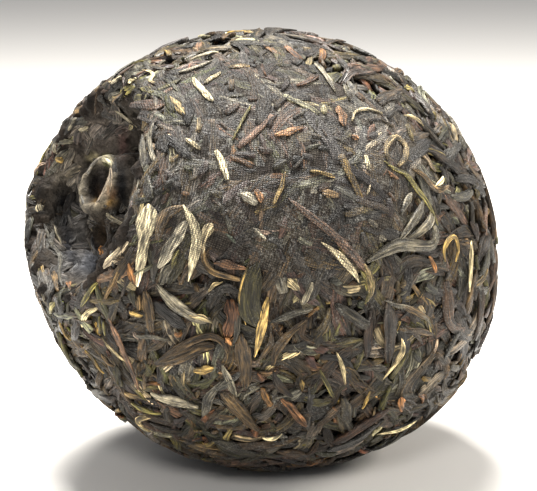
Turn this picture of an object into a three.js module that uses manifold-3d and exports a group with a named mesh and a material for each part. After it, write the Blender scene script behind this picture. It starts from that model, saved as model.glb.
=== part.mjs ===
// A pressed cake of tea leaves, nearly a ball, lying on its side.
//
// Millimetres, +Z up. The origin is the middle of the small flat spot that the cake rests on. The
// cake is a body of revolution about a leaning axis that points out of the hollow, towards -X and
// up. A core carries the hollow, the knot mark inside it and the large unevenness of the pressing,
// and the larger strips of leaf that show are fused onto it.

import * as THREE from "three";
import { mergeVertices } from "three/addons/utils/BufferGeometryUtils.js";
import Module from "manifold-3d";

// The pressed outline, from the axis out.
const EQUATOR_RADIUS = 44;
const DOME_HEIGHT = 50;
const DOME_SQUARENESS = 2.1;
const SHOULDER_HEIGHT = 48;
const SHOULDER_SQUARENESS = 1.78;
const AXIS_LEAN = THREE.MathUtils.degToRad(22);

// The core lies this far inside the pressed outline, which the tops of the strips reach.
const CORE_INSET = 0.8;

// How the cake rests: the resting plane cuts this much off the outline's lowest point.
const REST_CUT = 1.8;

// The hollow: a rounded lip, a wall, and a floor round the knot mark.
const LIP_OUTER_RADIUS = 24;
const LIP_ROUNDING = 4;
const LIP_STEPS = 5;
const FLOOR_DEPTH = 11;
const FLOOR_RADII = [14, 12.4, 10.8, 9];

// The knot mark: a low thin-walled ring with a hole down its middle.
const KNOT_FOOT_RADIUS = 7.4;
const KNOT_TOP_RADIUS = 5.6;
const KNOT_TOP_DEPTH = 2.8;
const KNOT_HOLE_RADIUS = 4.3;
const KNOT_HOLE_FLOOR_RADIUS = 3;
const KNOT_HOLE_DEPTH = 9;
const KNOT_CREST_RADIUS = 5;
const KNOT_CREST_RISE = 0.5;
const KNOT_SIDE_SHIFT = 2.9;
const KNOT_UP_SHIFT = 1.5;
const KNOT_SHIFT_FADE = [8, 14];

// Lumps (rise above 0) and dents (below 0) of the hollow's floor and wall: how far sideways and up
// across the axis each lies, and its spreads that way. Towards the knot mark they and the curl fade
// out between two radii.
const LUMPS_FADE = [6.2, 9];
const HOLLOW_LUMPS = [
  { name: "near wall", aside: -14, up: 1, spreadAside: 4, spreadUp: 9, rise: 5 },
  { name: "upper wall", aside: 11, up: 9, spreadAside: 5, spreadUp: 3.5, rise: 2.6 },
  { name: "far wall", aside: 14, up: 1, spreadAside: 3, spreadUp: 3, rise: 2.6 },
  { name: "low on the far wall", aside: 12, up: -8, spreadAside: 4, spreadUp: 4, rise: -1.2 },
  { name: "low floor", aside: 1, up: -14, spreadAside: 7, spreadUp: 3, rise: 2 },
];

// The curl below the knot mark: a ridge in a smaller ring.
const CURL = { aside: -0.8, up: -7.6, radius: 3.7, spread: 1.5, rise: 4.6 };

// Facets of the core.
const DOME_RINGS = 12;
const SHOULDER_RINGS = 6;
const FACETS_ROUND = 36;

// The unevenness of the pressing: broad swells (height above 0) and dips (below 0), each at a
// longitude and latitude in degrees about the vertical, with a spread in degrees.
const SWELLS = [
  { name: "far side of the lip", longitude: 151, latitude: 13, spread: 18, height: 1.7 },
  { name: "above the lip", longitude: 150, latitude: 50, spread: 18, height: -0.4 },
  { name: "below the lip", longitude: 151, latitude: -12, spread: 14, height: -0.6 },
  { name: "on top", longitude: 0, latitude: 86, spread: 26, height: -0.5 },
  { name: "low on the hollow's side", longitude: 150, latitude: -42, spread: 18, height: 0.6 },
  { name: "low on the dome", longitude: -30, latitude: -42, spread: 18, height: 0.8 },
  { name: "level on the dome", longitude: -29, latitude: 10, spread: 18, height: -0.5 },
  { name: "high on the dome", longitude: -33, latitude: 42, spread: 16, height: 0.6 },
  { name: "behind, high", longitude: 75, latitude: 30, spread: 24, height: 0.5 },
  { name: "behind, low", longitude: 50, latitude: -20, spread: 22, height: -0.6 },
];

// The strips of leaf that are fused onto the core.
const STRIP_COUNT = 120;
const STRIP_LENGTH = { smallest: 10, largest: 22 };
const STRIP_WIDTH = { smallest: 2.0, largest: 4.2 };
const STRIP_END_SHARE = 0.35;
const STRIP_TOP_SHARE = 0.75;
const STRIP_SEGMENTS = 3;
const STRIP_THICKNESS = 2.0;
const STRIP_SINK = 0.3;
const STRIP_BEND = 0.9;
const STRIP_WANDER = 0.9;
const STRIP_MOUTH_CLEARANCE = THREE.MathUtils.degToRad(39);
const STRIP_SEED = 7;

const GOLDEN_TURN = Math.PI * (3 - Math.sqrt(5));
const GOLDEN_SHARE = (Math.sqrt(5) - 1) / 2;

// The cake's own directions: out of the hollow, sideways, and up across the axis.
const AXIS = new THREE.Vector3(-Math.cos(AXIS_LEAN), 0, Math.sin(AXIS_LEAN));
const SIDEWAYS = new THREE.Vector3(0, 1, 0);
const UPWARD = new THREE.Vector3(Math.sin(AXIS_LEAN), 0, Math.cos(AXIS_LEAN));

// A seeded source of numbers from 0 to 1 (mulberry32).
function seededRandom(seed) {
  let state = seed;
  return () => {
    state = (state + 0x6d2b79f5) | 0;
    let mixed = Math.imul(state ^ (state >>> 15), 1 | state);
    mixed = (mixed + Math.imul(mixed ^ (mixed >>> 7), 61 | mixed)) ^ mixed;
    return ((mixed ^ (mixed >>> 14)) >>> 0) / 2 ** 32;
  };
}

function between({ smallest, largest }, share) {
  return THREE.MathUtils.lerp(smallest, largest, share);
}

// The smooth outline in the plane of the axis: a rounder dome and a more pointed shoulder, both
// superellipses that meet at the equator.
function outlineHalf(alongAxis) {
  return alongAxis < 0
    ? { height: DOME_HEIGHT, squareness: DOME_SQUARENESS }
    : { height: SHOULDER_HEIGHT, squareness: SHOULDER_SQUARENESS };
}

function outlineReach(alongAxis, fromAxis) {
  const { height, squareness } = outlineHalf(alongAxis);
  const share = (Math.abs(alongAxis) / height) ** squareness + (fromAxis / EQUATOR_RADIUS) ** squareness;
  return share ** (-1 / squareness);
}

// How far the swells and dips push the surface out at a unit direction from the cake's middle.
const swells = SWELLS.map(({ longitude, latitude, spread, height }) => {
  const turn = THREE.MathUtils.degToRad(longitude);
  const rise = THREE.MathUtils.degToRad(latitude);
  const towards = new THREE.Vector3(
    Math.cos(rise) * Math.cos(turn),
    Math.cos(rise) * Math.sin(turn),
    Math.sin(rise),
  );
  return { towards, spread: THREE.MathUtils.degToRad(spread), height };
});

function swellAt(direction) {
  let push = 0;
  for (const { towards, spread, height } of swells) {
    push += height * Math.exp(-((direction.angleTo(towards) / spread) ** 2));
  }
  return push;
}

// The point of the pressed outline in a direction from the cake's middle.
function onOutline(direction) {
  const along = direction.dot(AXIS);
  const across = Math.sqrt(Math.max(0, 1 - along * along));
  return direction.clone().multiplyScalar(outlineReach(along, across) + swellAt(direction));
}

function outlineNormal(direction) {
  const along = direction.dot(AXIS);
  const across = Math.sqrt(Math.max(1e-9, 1 - along * along));
  const outward = direction.clone().addScaledVector(AXIS, -along).divideScalar(across);
  const { height, squareness } = outlineHalf(along);
  const axial = (Math.sign(along) * (Math.abs(along) / height) ** (squareness - 1)) / height;
  const radial = (across / EQUATOR_RADIUS) ** (squareness - 1) / EQUATOR_RADIUS;
  return outward.multiplyScalar(radial).addScaledVector(AXIS, axial).normalize();
}

// The lip rolls over as an arc that starts square to the shoulder's own slope.
const lip = (() => {
  const across = LIP_OUTER_RADIUS / EQUATOR_RADIUS;
  const along = SHOULDER_HEIGHT * (1 - across ** SHOULDER_SQUARENESS) ** (1 / SHOULDER_SQUARENESS);
  const axial = (along / SHOULDER_HEIGHT) ** (SHOULDER_SQUARENESS - 1) / SHOULDER_HEIGHT;
  const radial = across ** (SHOULDER_SQUARENESS - 1) / EQUATOR_RADIUS;
  const slope = Math.atan2(radial, axial);
  const centreAlong = along - LIP_ROUNDING * Math.cos(slope);
  const centreFromAxis = LIP_OUTER_RADIUS - LIP_ROUNDING * Math.sin(slope);
  return { slope, centreAlong, centreFromAxis, crest: centreAlong + LIP_ROUNDING };
})();

// The profile from the dome's pole round to the bottom of the knot's hole, as Vector2(from the
// axis, along the axis).
function coreProfile() {
  const points = [];
  const quarter = Math.PI / 2;
  for (let ring = 0; ring < DOME_RINGS; ring += 1) {
    const turn = (quarter * ring) / DOME_RINGS;
    const reach = outlineReach(-Math.cos(turn), Math.sin(turn));
    points.push(new THREE.Vector2(reach * Math.sin(turn), -reach * Math.cos(turn)));
  }
  const shoulderEnd = Math.atan2(
    lip.centreAlong + LIP_ROUNDING * Math.cos(lip.slope),
    LIP_OUTER_RADIUS,
  );
  for (let ring = 0; ring < SHOULDER_RINGS; ring += 1) {
    const turn = (shoulderEnd * ring) / SHOULDER_RINGS;
    const reach = outlineReach(Math.sin(turn), Math.cos(turn));
    points.push(new THREE.Vector2(reach * Math.cos(turn), reach * Math.sin(turn)));
  }
  for (let step = 0; step <= LIP_STEPS; step += 1) {
    const turn = THREE.MathUtils.lerp(lip.slope, -quarter, step / LIP_STEPS);
    points.push(
      new THREE.Vector2(
        lip.centreFromAxis + LIP_ROUNDING * Math.sin(turn),
        lip.centreAlong + LIP_ROUNDING * Math.cos(turn),
      ),
    );
  }
  const floor = lip.crest - FLOOR_DEPTH;
  const knotTop = lip.crest - KNOT_TOP_DEPTH;
  const wallRadius = lip.centreFromAxis - LIP_ROUNDING;
  points.push(
    new THREE.Vector2((wallRadius + FLOOR_RADII[0]) / 2, (lip.centreAlong + floor) / 2),
    ...FLOOR_RADII.map((radius) => new THREE.Vector2(radius, floor)),
    new THREE.Vector2(KNOT_FOOT_RADIUS, (floor + knotTop) / 2),
    new THREE.Vector2(KNOT_TOP_RADIUS, knotTop),
    new THREE.Vector2(KNOT_CREST_RADIUS, knotTop + KNOT_CREST_RISE),
    new THREE.Vector2(KNOT_HOLE_RADIUS, knotTop),
    new THREE.Vector2(KNOT_HOLE_FLOOR_RADIUS, lip.crest - KNOT_HOLE_DEPTH),
    new THREE.Vector2(0, lip.crest - KNOT_HOLE_DEPTH),
  );
  return points;
}

// How far the lumps, the dents and the curl raise the hollow at a place across the axis.
function hollowRise(aside, up) {
  let rise = CURL.rise * Math.exp(
    -(((Math.hypot(aside - CURL.aside, up - CURL.up) - CURL.radius) / CURL.spread) ** 2),
  );
  for (const lump of HOLLOW_LUMPS) {
    const alongSide = (aside - lump.aside) / lump.spreadAside;
    const alongUp = (up - lump.up) / lump.spreadUp;
    rise += lump.rise * Math.exp(-(alongSide ** 2) - alongUp ** 2);
  }
  return rise * THREE.MathUtils.smoothstep(Math.hypot(aside, up), ...LUMPS_FADE);
}

// The core: the profile turned about the axis and drawn in, with the swells, the lumps of the
// hollow and the knot's own shift.
function coreGeometry() {
  const geometry = new THREE.LatheGeometry(coreProfile(), FACETS_ROUND);
  const position = geometry.getAttribute("position");
  const [fadeStart, fadeEnd] = KNOT_SHIFT_FADE;
  for (let index = 0; index < position.count; index += 1) {
    const lathed = new THREE.Vector3().fromBufferAttribute(position, index);
    const fromAxis = Math.hypot(lathed.x, lathed.z);
    const placed = new THREE.Vector3()
      .addScaledVector(AXIS, lathed.y)
      .addScaledVector(SIDEWAYS, lathed.x)
      .addScaledVector(UPWARD, lathed.z);
    const direction = placed.clone().normalize();
    placed.addScaledVector(direction, swellAt(direction) - CORE_INSET);
    if (lathed.y > 0 && fromAxis < LIP_OUTER_RADIUS) {
      placed.addScaledVector(AXIS, hollowRise(lathed.x, lathed.z));
      const shift = 1 - THREE.MathUtils.smoothstep(fromAxis, fadeStart, fadeEnd);
      placed.addScaledVector(SIDEWAYS, KNOT_SIDE_SHIFT * shift);
      placed.addScaledVector(UPWARD, KNOT_UP_SHIFT * shift);
    }
    position.setXYZ(index, placed.x, placed.y, placed.z);
  }
  return geometry;
}

// One strip of leaf: a flat bar, narrower at its top and at its ends, bent to lie along the
// outline in a heading from the middle of its length.
function stripGeometry({ middle, heading, length, width, bend, sink }) {
  const geometry = new THREE.BoxGeometry(1, 1, 1, STRIP_SEGMENTS, 1, 1);
  const position = geometry.getAttribute("position");
  const sideways = new THREE.Vector3().crossVectors(middle, heading);
  for (let index = 0; index < position.count; index += 1) {
    const alongStrip = position.getX(index);
    const acrossStrip = position.getY(index);
    const throughStrip = position.getZ(index);
    const travel = (alongStrip * length) / EQUATOR_RADIUS;
    const direction = middle
      .clone()
      .addScaledVector(heading, travel)
      .addScaledVector(sideways, bend * travel * travel)
      .normalize();
    const normal = outlineNormal(direction);
    const across = new THREE.Vector3().crossVectors(normal, heading).normalize();
    const endShare = THREE.MathUtils.lerp(1, STRIP_END_SHARE, (2 * Math.abs(alongStrip)) ** 3);
    const topShare = throughStrip > 0 ? STRIP_TOP_SHARE : 1;
    const placed = onOutline(direction)
      .addScaledVector(normal, (throughStrip - 1 / 2) * STRIP_THICKNESS - sink)
      .addScaledVector(across, acrossStrip * width * endShare * topShare);
    position.setXYZ(index, placed.x, placed.y, placed.z);
  }
  return geometry;
}

// The strips are spread evenly by a golden spiral, and their sizes by the golden share, so that
// large and small ones mix everywhere.
function stripGeometries() {
  const random = seededRandom(STRIP_SEED);
  const strips = [];
  for (let count = 0; count < STRIP_COUNT; count += 1) {
    const along = 1 - (2 * (count + 1 / 2)) / STRIP_COUNT;
    const across = Math.sqrt(1 - along * along);
    const turn = count * GOLDEN_TURN;
    const middle = new THREE.Vector3()
      .addScaledVector(AXIS, along)
      .addScaledVector(SIDEWAYS, across * Math.cos(turn))
      .addScaledVector(UPWARD, across * Math.sin(turn));
    const size = (count * GOLDEN_SHARE) % 1;
    const roundAxis = new THREE.Vector3().crossVectors(AXIS, middle).normalize();
    const wander = (random() - 1 / 2) * Math.PI * STRIP_WANDER;
    const heading = roundAxis.applyAxisAngle(middle, wander);
    const bend = (random() - 1 / 2) * STRIP_BEND;
    const sink = STRIP_SINK * random();
    if (middle.angleTo(AXIS) > STRIP_MOUTH_CLEARANCE) {
      const length = between(STRIP_LENGTH, size);
      const width = between(STRIP_WIDTH, size);
      strips.push(stripGeometry({ middle, heading, length, width, bend, sink }));
    }
  }
  return strips;
}

const wasm = await Module();
wasm.setup();

// A closed geometry as a solid: shared corners are merged, and triangles that closed up go.
function asSolid(geometry) {
  const bare = geometry.clone();
  bare.deleteAttribute("normal");
  bare.deleteAttribute("uv");
  const merged = mergeVertices(bare, 1e-4);
  const corners = merged.getIndex().array;
  const kept = [];
  for (let index = 0; index < corners.length; index += 3) {
    const [a, b, c] = corners.slice(index, index + 3);
    if (a !== b && b !== c && c !== a) {
      kept.push(a, b, c);
    }
  }
  const vertProperties = new Float32Array(merged.getAttribute("position").array);
  const triVerts = new Uint32Array(kept);
  return new wasm.Manifold(new wasm.Mesh({ numProp: 3, vertProperties, triVerts }));
}

function asGeometry(solid) {
  const { vertProperties, triVerts } = solid.getMesh();
  const geometry = new THREE.BufferGeometry();
  geometry.setAttribute("position", new THREE.BufferAttribute(vertProperties, 3));
  geometry.setIndex(new THREE.BufferAttribute(triVerts, 1));
  geometry.computeVertexNormals();
  return geometry;
}

// The lowest point of the pressed outline, found where its normal points straight down.
function lowestPoint() {
  const down = new THREE.Vector3(0, 0, -1);
  const direction = down.clone();
  for (let round = 0; round < 60; round += 1) {
    direction.addScaledVector(down.clone().sub(outlineNormal(direction)), 1 / 2).normalize();
  }
  return onOutline(direction);
}

// The room below the resting plane, which the cake's underside is cut by.
function belowRest(lowest) {
  const size = 4 * EQUATOR_RADIUS;
  const slab = new THREE.BoxGeometry(size, size, size);
  slab.translate(lowest.x, 0, lowest.z + REST_CUT - size / 2);
  return slab;
}

function cakeGeometry() {
  const lowest = lowestPoint();
  let cake = asSolid(coreGeometry());
  for (const strip of stripGeometries()) {
    cake = cake.add(asSolid(strip));
  }
  cake = cake.subtract(asSolid(belowRest(lowest)));
  const geometry = asGeometry(cake);
  geometry.translate(-lowest.x, 0, -lowest.z - REST_CUT);
  return geometry;
}

const leaf = new THREE.MeshStandardMaterial({
  name: "pressed_leaf",
  color: new THREE.Color(0.075, 0.066, 0.057),
  roughness: 0.62,
  metalness: 0,
});

const tuocha = new THREE.Mesh(cakeGeometry(), leaf);
tuocha.name = "tuocha";

const cake = new THREE.Group();
cake.add(tuocha);

export default cake;
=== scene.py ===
"""A pressed cake of dark tea leaves, nearly a ball, lying on its side with its knot mark in view.

Shapes are worked out in millimetres in the cake's row frame (+Z up, origin at the middle of the
flat spot it rests on) and become metres when a mesh is made. The cake is a core with many leaf
strips pressed into it: a smooth cloth-marked zone on its upper front, looser strips below.
"""
import math

import bpy
import numpy as np
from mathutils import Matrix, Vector, kdtree


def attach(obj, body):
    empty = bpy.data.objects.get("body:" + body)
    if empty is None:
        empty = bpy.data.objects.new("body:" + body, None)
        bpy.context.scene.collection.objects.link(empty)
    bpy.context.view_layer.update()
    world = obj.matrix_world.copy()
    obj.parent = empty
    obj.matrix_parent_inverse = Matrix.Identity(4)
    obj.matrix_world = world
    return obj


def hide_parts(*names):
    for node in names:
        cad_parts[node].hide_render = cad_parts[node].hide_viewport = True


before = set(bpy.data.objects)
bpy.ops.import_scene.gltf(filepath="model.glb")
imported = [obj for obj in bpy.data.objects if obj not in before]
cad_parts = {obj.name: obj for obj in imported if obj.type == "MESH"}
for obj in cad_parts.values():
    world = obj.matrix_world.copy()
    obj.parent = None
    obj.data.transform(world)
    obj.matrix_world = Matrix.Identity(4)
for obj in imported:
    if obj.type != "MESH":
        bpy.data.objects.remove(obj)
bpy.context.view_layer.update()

METRES = 0.001

# ---- the cake's own sizes, in millimetres and degrees, as the solid has them ----
EQUATOR_RADIUS = 44.0
DOME_HEIGHT, DOME_SQUARENESS = 50.0, 2.1
SHOULDER_HEIGHT, SHOULDER_SQUARENESS = 48.0, 1.78
AXIS_LEAN = math.radians(22)
REST_CUT = 1.8
LIP_OUTER_RADIUS, LIP_ROUNDING = 24.0, 4.0
FLOOR_DEPTH, FLOOR_OUTER_RADIUS, FLOOR_INNER_RADIUS = 11.0, 14.0, 9.0
KNOT_FOOT_RADIUS, KNOT_TOP_RADIUS, KNOT_TOP_DEPTH = 7.4, 5.6, 2.8
KNOT_CREST_RADIUS, KNOT_CREST_RISE = 5.0, 0.5
KNOT_HOLE_RADIUS, KNOT_HOLE_FLOOR_RADIUS, KNOT_HOLE_DEPTH = 4.3, 3.0, 9.0
KNOT_SIDE_SHIFT, KNOT_UP_SHIFT, KNOT_SHIFT_FADE = 2.9, 1.5, (8.0, 14.0)
LUMPS_START = (6.2, 9.0)
HOLLOW_LUMPS = (  # aside, up, spread aside, spread up, rise
    (-14, 1, 4, 9, 5), (11, 9, 5, 3.5, 2.6), (14, 1, 3, 3, 2.6), (12, -8, 4, 4, -1.2),
    (1, -14, 7, 3, 2),
)
CURL_ASIDE, CURL_UP, CURL_RADIUS, CURL_SPREAD, CURL_RISE = -0.8, -7.6, 3.7, 1.5, 4.6
SWELLS = (  # longitude, latitude, spread, height
    (151, 13, 18, 1.7), (150, 50, 18, -0.4), (151, -12, 14, -0.6), (0, 86, 26, -0.5),
    (150, -42, 18, 0.6), (-30, -42, 18, 0.8), (-29, 10, 18, -0.5), (-33, 42, 16, 0.6),
    (75, 30, 24, 0.5), (50, -20, 22, -0.6),
)

AXIS = np.array([-math.cos(AXIS_LEAN), 0.0, math.sin(AXIS_LEAN)])
SIDEWAYS = np.array([0.0, 1.0, 0.0])
UPWARD = np.array([math.sin(AXIS_LEAN), 0.0, math.cos(AXIS_LEAN)])

# ---- the photograph's view ----
PHOTO_WIDTH, PHOTO_HEIGHT = 537, 491
VIEW_AZIMUTH, VIEW_ELEVATION = math.radians(-28.5), math.radians(12)
VIEW_DISTANCE = 400.0
VIEW_FOCAL_PIXELS = 2002.0
CAKE_AIM = np.array([0.0, 0.0, 44.0])
CAKE_AIM_PIXEL = (281.6, 240.7)
SENSOR_WIDTH = 36.0

VIEW_BACK = np.array([
    math.sin(VIEW_AZIMUTH) * math.cos(VIEW_ELEVATION),
    -math.cos(VIEW_AZIMUTH) * math.cos(VIEW_ELEVATION),
    math.sin(VIEW_ELEVATION),
])
VIEW_RIGHT = np.array([math.cos(VIEW_AZIMUTH), math.sin(VIEW_AZIMUTH), 0.0])
VIEW_UP = np.cross(VIEW_BACK, VIEW_RIGHT)
PIXEL_AT_AIM = VIEW_DISTANCE / VIEW_FOCAL_PIXELS
VIEW_AIM = (
    CAKE_AIM
    + VIEW_RIGHT * (PHOTO_WIDTH / 2 - CAKE_AIM_PIXEL[0]) * PIXEL_AT_AIM
    - VIEW_UP * (PHOTO_HEIGHT / 2 - CAKE_AIM_PIXEL[1]) * PIXEL_AT_AIM
)
VIEW_PLACE = VIEW_AIM + VIEW_BACK * VIEW_DISTANCE
VIEW_DEPTHS = np.linspace(VIEW_DISTANCE - 60, VIEW_DISTANCE + 20, 1601)


# ---- small helpers ----
def unit(vectors):
    return vectors / np.maximum(np.linalg.norm(vectors, axis=-1, keepdims=True), 1e-12)


def smoothstep(values, low, high):
    share = np.clip((values - low) / (high - low), 0.0, 1.0)
    return share * share * (3 - 2 * share)


def lerp(low, high, share):
    return low + (high - low) * share


def linear(red, green, blue):
    """A colour given as it looks on a screen, 0 to 255, as the light it stands for."""
    values = np.array([red, green, blue]) / 255
    return np.where(values <= 0.04045, values / 12.92, ((values + 0.055) / 1.055) ** 2.4)


def angle_between(directions, towards):
    return np.arccos(np.clip(directions @ towards, -1, 1))


WAVE_SPREAD, WAVE_LEVEL = (0.7, 1.5), 1.6


def wave_noise(points, wavelength, seed, waves):
    """Smooth noise from about -1 to 1 over points in space, as a sum of seeded plane waves."""
    draws = np.random.default_rng(seed)
    total = np.zeros(points.shape[:-1])
    for _ in range(waves):
        towards = unit(draws.normal(size=3))
        length = wavelength * draws.uniform(*WAVE_SPREAD)
        total += np.sin(points @ towards * (2 * math.pi / length) + draws.uniform(0, 2 * math.pi))
    return total / math.sqrt(waves / 2) / WAVE_LEVEL


def roughness(points, layers):
    """Noise in layers, each with its wavelength, seed, number of waves and height."""
    return sum(height * wave_noise(points, *layer) for *layer, height in layers)


# ---- the pressed outline ----
def outline_halves(along):
    height = np.where(along < 0, DOME_HEIGHT, SHOULDER_HEIGHT)
    squareness = np.where(along < 0, DOME_SQUARENESS, SHOULDER_SQUARENESS)
    return height, squareness


def outline_reach(along, across):
    height, squareness = outline_halves(along)
    share = (np.abs(along) / height) ** squareness + (across / EQUATOR_RADIUS) ** squareness
    return share ** (-1 / squareness)


def swell_at(directions):
    push = np.zeros(directions.shape[:-1])
    for longitude, latitude, spread, height in SWELLS:
        turn, rise = math.radians(longitude), math.radians(latitude)
        towards = np.array([
            math.cos(rise) * math.cos(turn), math.cos(rise) * math.sin(turn), math.sin(rise),
        ])
        push += height * np.exp(-((angle_between(directions, towards) / math.radians(spread)) ** 2))
    return push


def outline_points(directions):
    along = directions @ AXIS
    across = np.sqrt(np.maximum(0, 1 - along**2))
    return directions * (outline_reach(along, across) + swell_at(directions))[..., None] + MIDDLE


def outline_normals(directions):
    along = directions @ AXIS
    across = np.sqrt(np.maximum(1e-9, 1 - along**2))
    outward = (directions - along[..., None] * AXIS) / across[..., None]
    height, squareness = outline_halves(along)
    axial = np.sign(along) * (np.abs(along) / height) ** (squareness - 1) / height
    radial = (across / EQUATOR_RADIUS) ** (squareness - 1) / EQUATOR_RADIUS
    return unit(outward * radial[..., None] + AXIS * axial[..., None])


MIDDLE = np.zeros(3)
MIDDLE_ROUNDS = 60


def cake_middle():
    """The cake's middle in the row frame, found from the outline's lowest point."""
    down = np.array([0.0, 0.0, -1.0])
    direction = down
    for _ in range(MIDDLE_ROUNDS):
        direction = unit(direction + (down - outline_normals(direction)) / 2)
    lowest = outline_points(direction)
    return np.array([-lowest[0], 0.0, -lowest[2] - REST_CUT])


MIDDLE = cake_middle()


def lip_arc():
    """Slope, centre and crest of the arc that the lip rolls over, square to the shoulder."""
    across = LIP_OUTER_RADIUS / EQUATOR_RADIUS
    along = SHOULDER_HEIGHT * (1 - across**SHOULDER_SQUARENESS) ** (1 / SHOULDER_SQUARENESS)
    axial = (along / SHOULDER_HEIGHT) ** (SHOULDER_SQUARENESS - 1) / SHOULDER_HEIGHT
    radial = across ** (SHOULDER_SQUARENESS - 1) / EQUATOR_RADIUS
    slope = math.atan2(radial, axial)
    centre_along = along - LIP_ROUNDING * math.cos(slope)
    centre_from_axis = LIP_OUTER_RADIUS - LIP_ROUNDING * math.sin(slope)
    return slope, centre_along, centre_from_axis, centre_along + LIP_ROUNDING


LIP_SLOPE, LIP_ALONG, LIP_FROM_AXIS, LIP_CREST = lip_arc()


def hollow_rise(aside, up):
    """How far the lumps, the dents and the curl raise the hollow at places across the axis."""
    from_curl = np.hypot(aside - CURL_ASIDE, up - CURL_UP) - CURL_RADIUS
    rise = CURL_RISE * np.exp(-((from_curl / CURL_SPREAD) ** 2))
    for lump_aside, lump_up, spread_aside, spread_up, height in HOLLOW_LUMPS:
        rise += height * np.exp(
            -(((aside - lump_aside) / spread_aside) ** 2) - ((up - lump_up) / spread_up) ** 2
        )
    return rise * smoothstep(np.hypot(aside, up), *LUMPS_START)


class Skin:
    """The whole skin as a profile turned about the axis: a place on it is the distance along the
    profile from the dome's pole, in millimetres, and the turn about the axis."""

    STEP = 0.25
    ROUNDING = 5
    DOME_POINTS, SHOULDER_POINTS, LIP_POINTS = 60, 40, 16
    NORMAL_STEP, NORMAL_LEAST_RADIUS = 0.3, 1.0

    def __init__(self):
        from_axis, along = self.profile()
        lengths = np.r_[0, np.cumsum(np.hypot(np.diff(from_axis), np.diff(along)))]
        self.length = lengths[-1]
        self.at = np.arange(0, self.length, self.STEP)
        self.radius = self.rounded(np.interp(self.at, lengths, from_axis), -1)
        self.height = self.rounded(np.interp(self.at, lengths, along), 1)
        self.lip_start = lengths[self.lip_index]

    def rounded(self, values, sign):
        """Values along the profile, smoothed; those mirrored ahead of the pole take the sign."""
        kernel = np.hanning(2 * self.ROUNDING + 3)[1:-1]
        ahead, behind = values[self.ROUNDING:0:-1], values[-2:-self.ROUNDING - 2:-1]
        return np.convolve(np.r_[sign * ahead, values, behind], kernel / kernel.sum(), "valid")

    def profile(self):
        shoulder_end = math.atan2(LIP_ALONG + LIP_ROUNDING * math.cos(LIP_SLOPE), LIP_OUTER_RADIUS)
        points = []
        for start, end, count in (
            (-math.pi / 2, 0, self.DOME_POINTS), (0, shoulder_end, self.SHOULDER_POINTS),
        ):
            turns = np.linspace(start, end, count)[:-1]
            reach = outline_reach(np.sin(turns), np.cos(turns))
            points.append(np.c_[reach * np.cos(turns), reach * np.sin(turns)])
        self.lip_index = sum(len(part) for part in points)
        turns = np.linspace(LIP_SLOPE, -math.pi / 2, self.LIP_POINTS)
        points.append(np.c_[
            LIP_FROM_AXIS + LIP_ROUNDING * np.sin(turns), LIP_ALONG + LIP_ROUNDING * np.cos(turns),
        ])
        floor = LIP_CREST - FLOOR_DEPTH
        knot_top = LIP_CREST - KNOT_TOP_DEPTH
        hole_floor = LIP_CREST - KNOT_HOLE_DEPTH
        points.append(np.array([
            ((LIP_FROM_AXIS - LIP_ROUNDING + FLOOR_OUTER_RADIUS) / 2, (LIP_ALONG + floor) / 2),
            (FLOOR_OUTER_RADIUS, floor),
            (FLOOR_INNER_RADIUS, floor),
            (KNOT_FOOT_RADIUS, (floor + knot_top) / 2),
            (KNOT_TOP_RADIUS, knot_top),
            (KNOT_CREST_RADIUS, knot_top + KNOT_CREST_RISE),
            (KNOT_HOLE_RADIUS, knot_top),
            (KNOT_HOLE_FLOOR_RADIUS, hole_floor),
            (0.0, hole_floor),
        ]))
        points = np.vstack(points)
        return points[:, 0], points[:, 1]

    def points(self, travel, turn):
        radius = np.interp(travel, self.at, self.radius)
        height = np.interp(travel, self.at, self.height)
        outward = SIDEWAYS * np.cos(turn)[..., None] + UPWARD * np.sin(turn)[..., None]
        places = AXIS * height[..., None] + outward * radius[..., None]
        directions = unit(places)
        places = places + directions * swell_at(directions)[..., None]
        hollowed = (height > 0) & (radius < LIP_OUTER_RADIUS)
        rise = hollow_rise(radius * np.cos(turn), radius * np.sin(turn)) * hollowed
        places = places + AXIS * rise[..., None]
        inner = 1 - smoothstep(radius, *KNOT_SHIFT_FADE)
        shift = (inner * (height > 0))[..., None]
        return places + (SIDEWAYS * KNOT_SIDE_SHIFT + UPWARD * KNOT_UP_SHIFT) * shift + MIDDLE

    def normals(self, travel, turn):
        step = self.NORMAL_STEP
        along = self.points(travel + step, turn) - self.points(travel - step, turn)
        radius = np.maximum(np.interp(travel, self.at, self.radius), self.NORMAL_LEAST_RADIUS)
        bit = step / radius
        round_axis = self.points(travel, turn + bit) - self.points(travel, turn - bit)
        return unit(np.cross(along, round_axis))


SKIN = Skin()
CLOTH_TURN_SEAM = math.radians(-100)


def cloth_places(points):
    """Where each point lies on the cloth that wrapped the cake: millimetres round the axis at the
    equator, and millimetres from the hollow."""
    offset = points - MIDDLE
    along = offset @ AXIS
    outward = offset - along[..., None] * AXIS
    turn = np.arctan2(outward @ UPWARD, outward @ SIDEWAYS)
    turn = (turn - CLOTH_TURN_SEAM) % (2 * math.pi)
    from_hollow = np.arctan2(np.linalg.norm(outward, axis=-1), along)
    return np.stack([turn * EQUATOR_RADIUS, from_hollow * EQUATOR_RADIUS], axis=-1)


# ---- the smooth zone that the cloth pressed ----
def ray_at(x, y):
    """The unit direction from the camera through a pixel of the photograph."""
    right = (x - PHOTO_WIDTH / 2) / VIEW_FOCAL_PIXELS
    up = (PHOTO_HEIGHT / 2 - y) / VIEW_FOCAL_PIXELS
    return unit(VIEW_RIGHT * right + VIEW_UP * up - VIEW_BACK)


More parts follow.
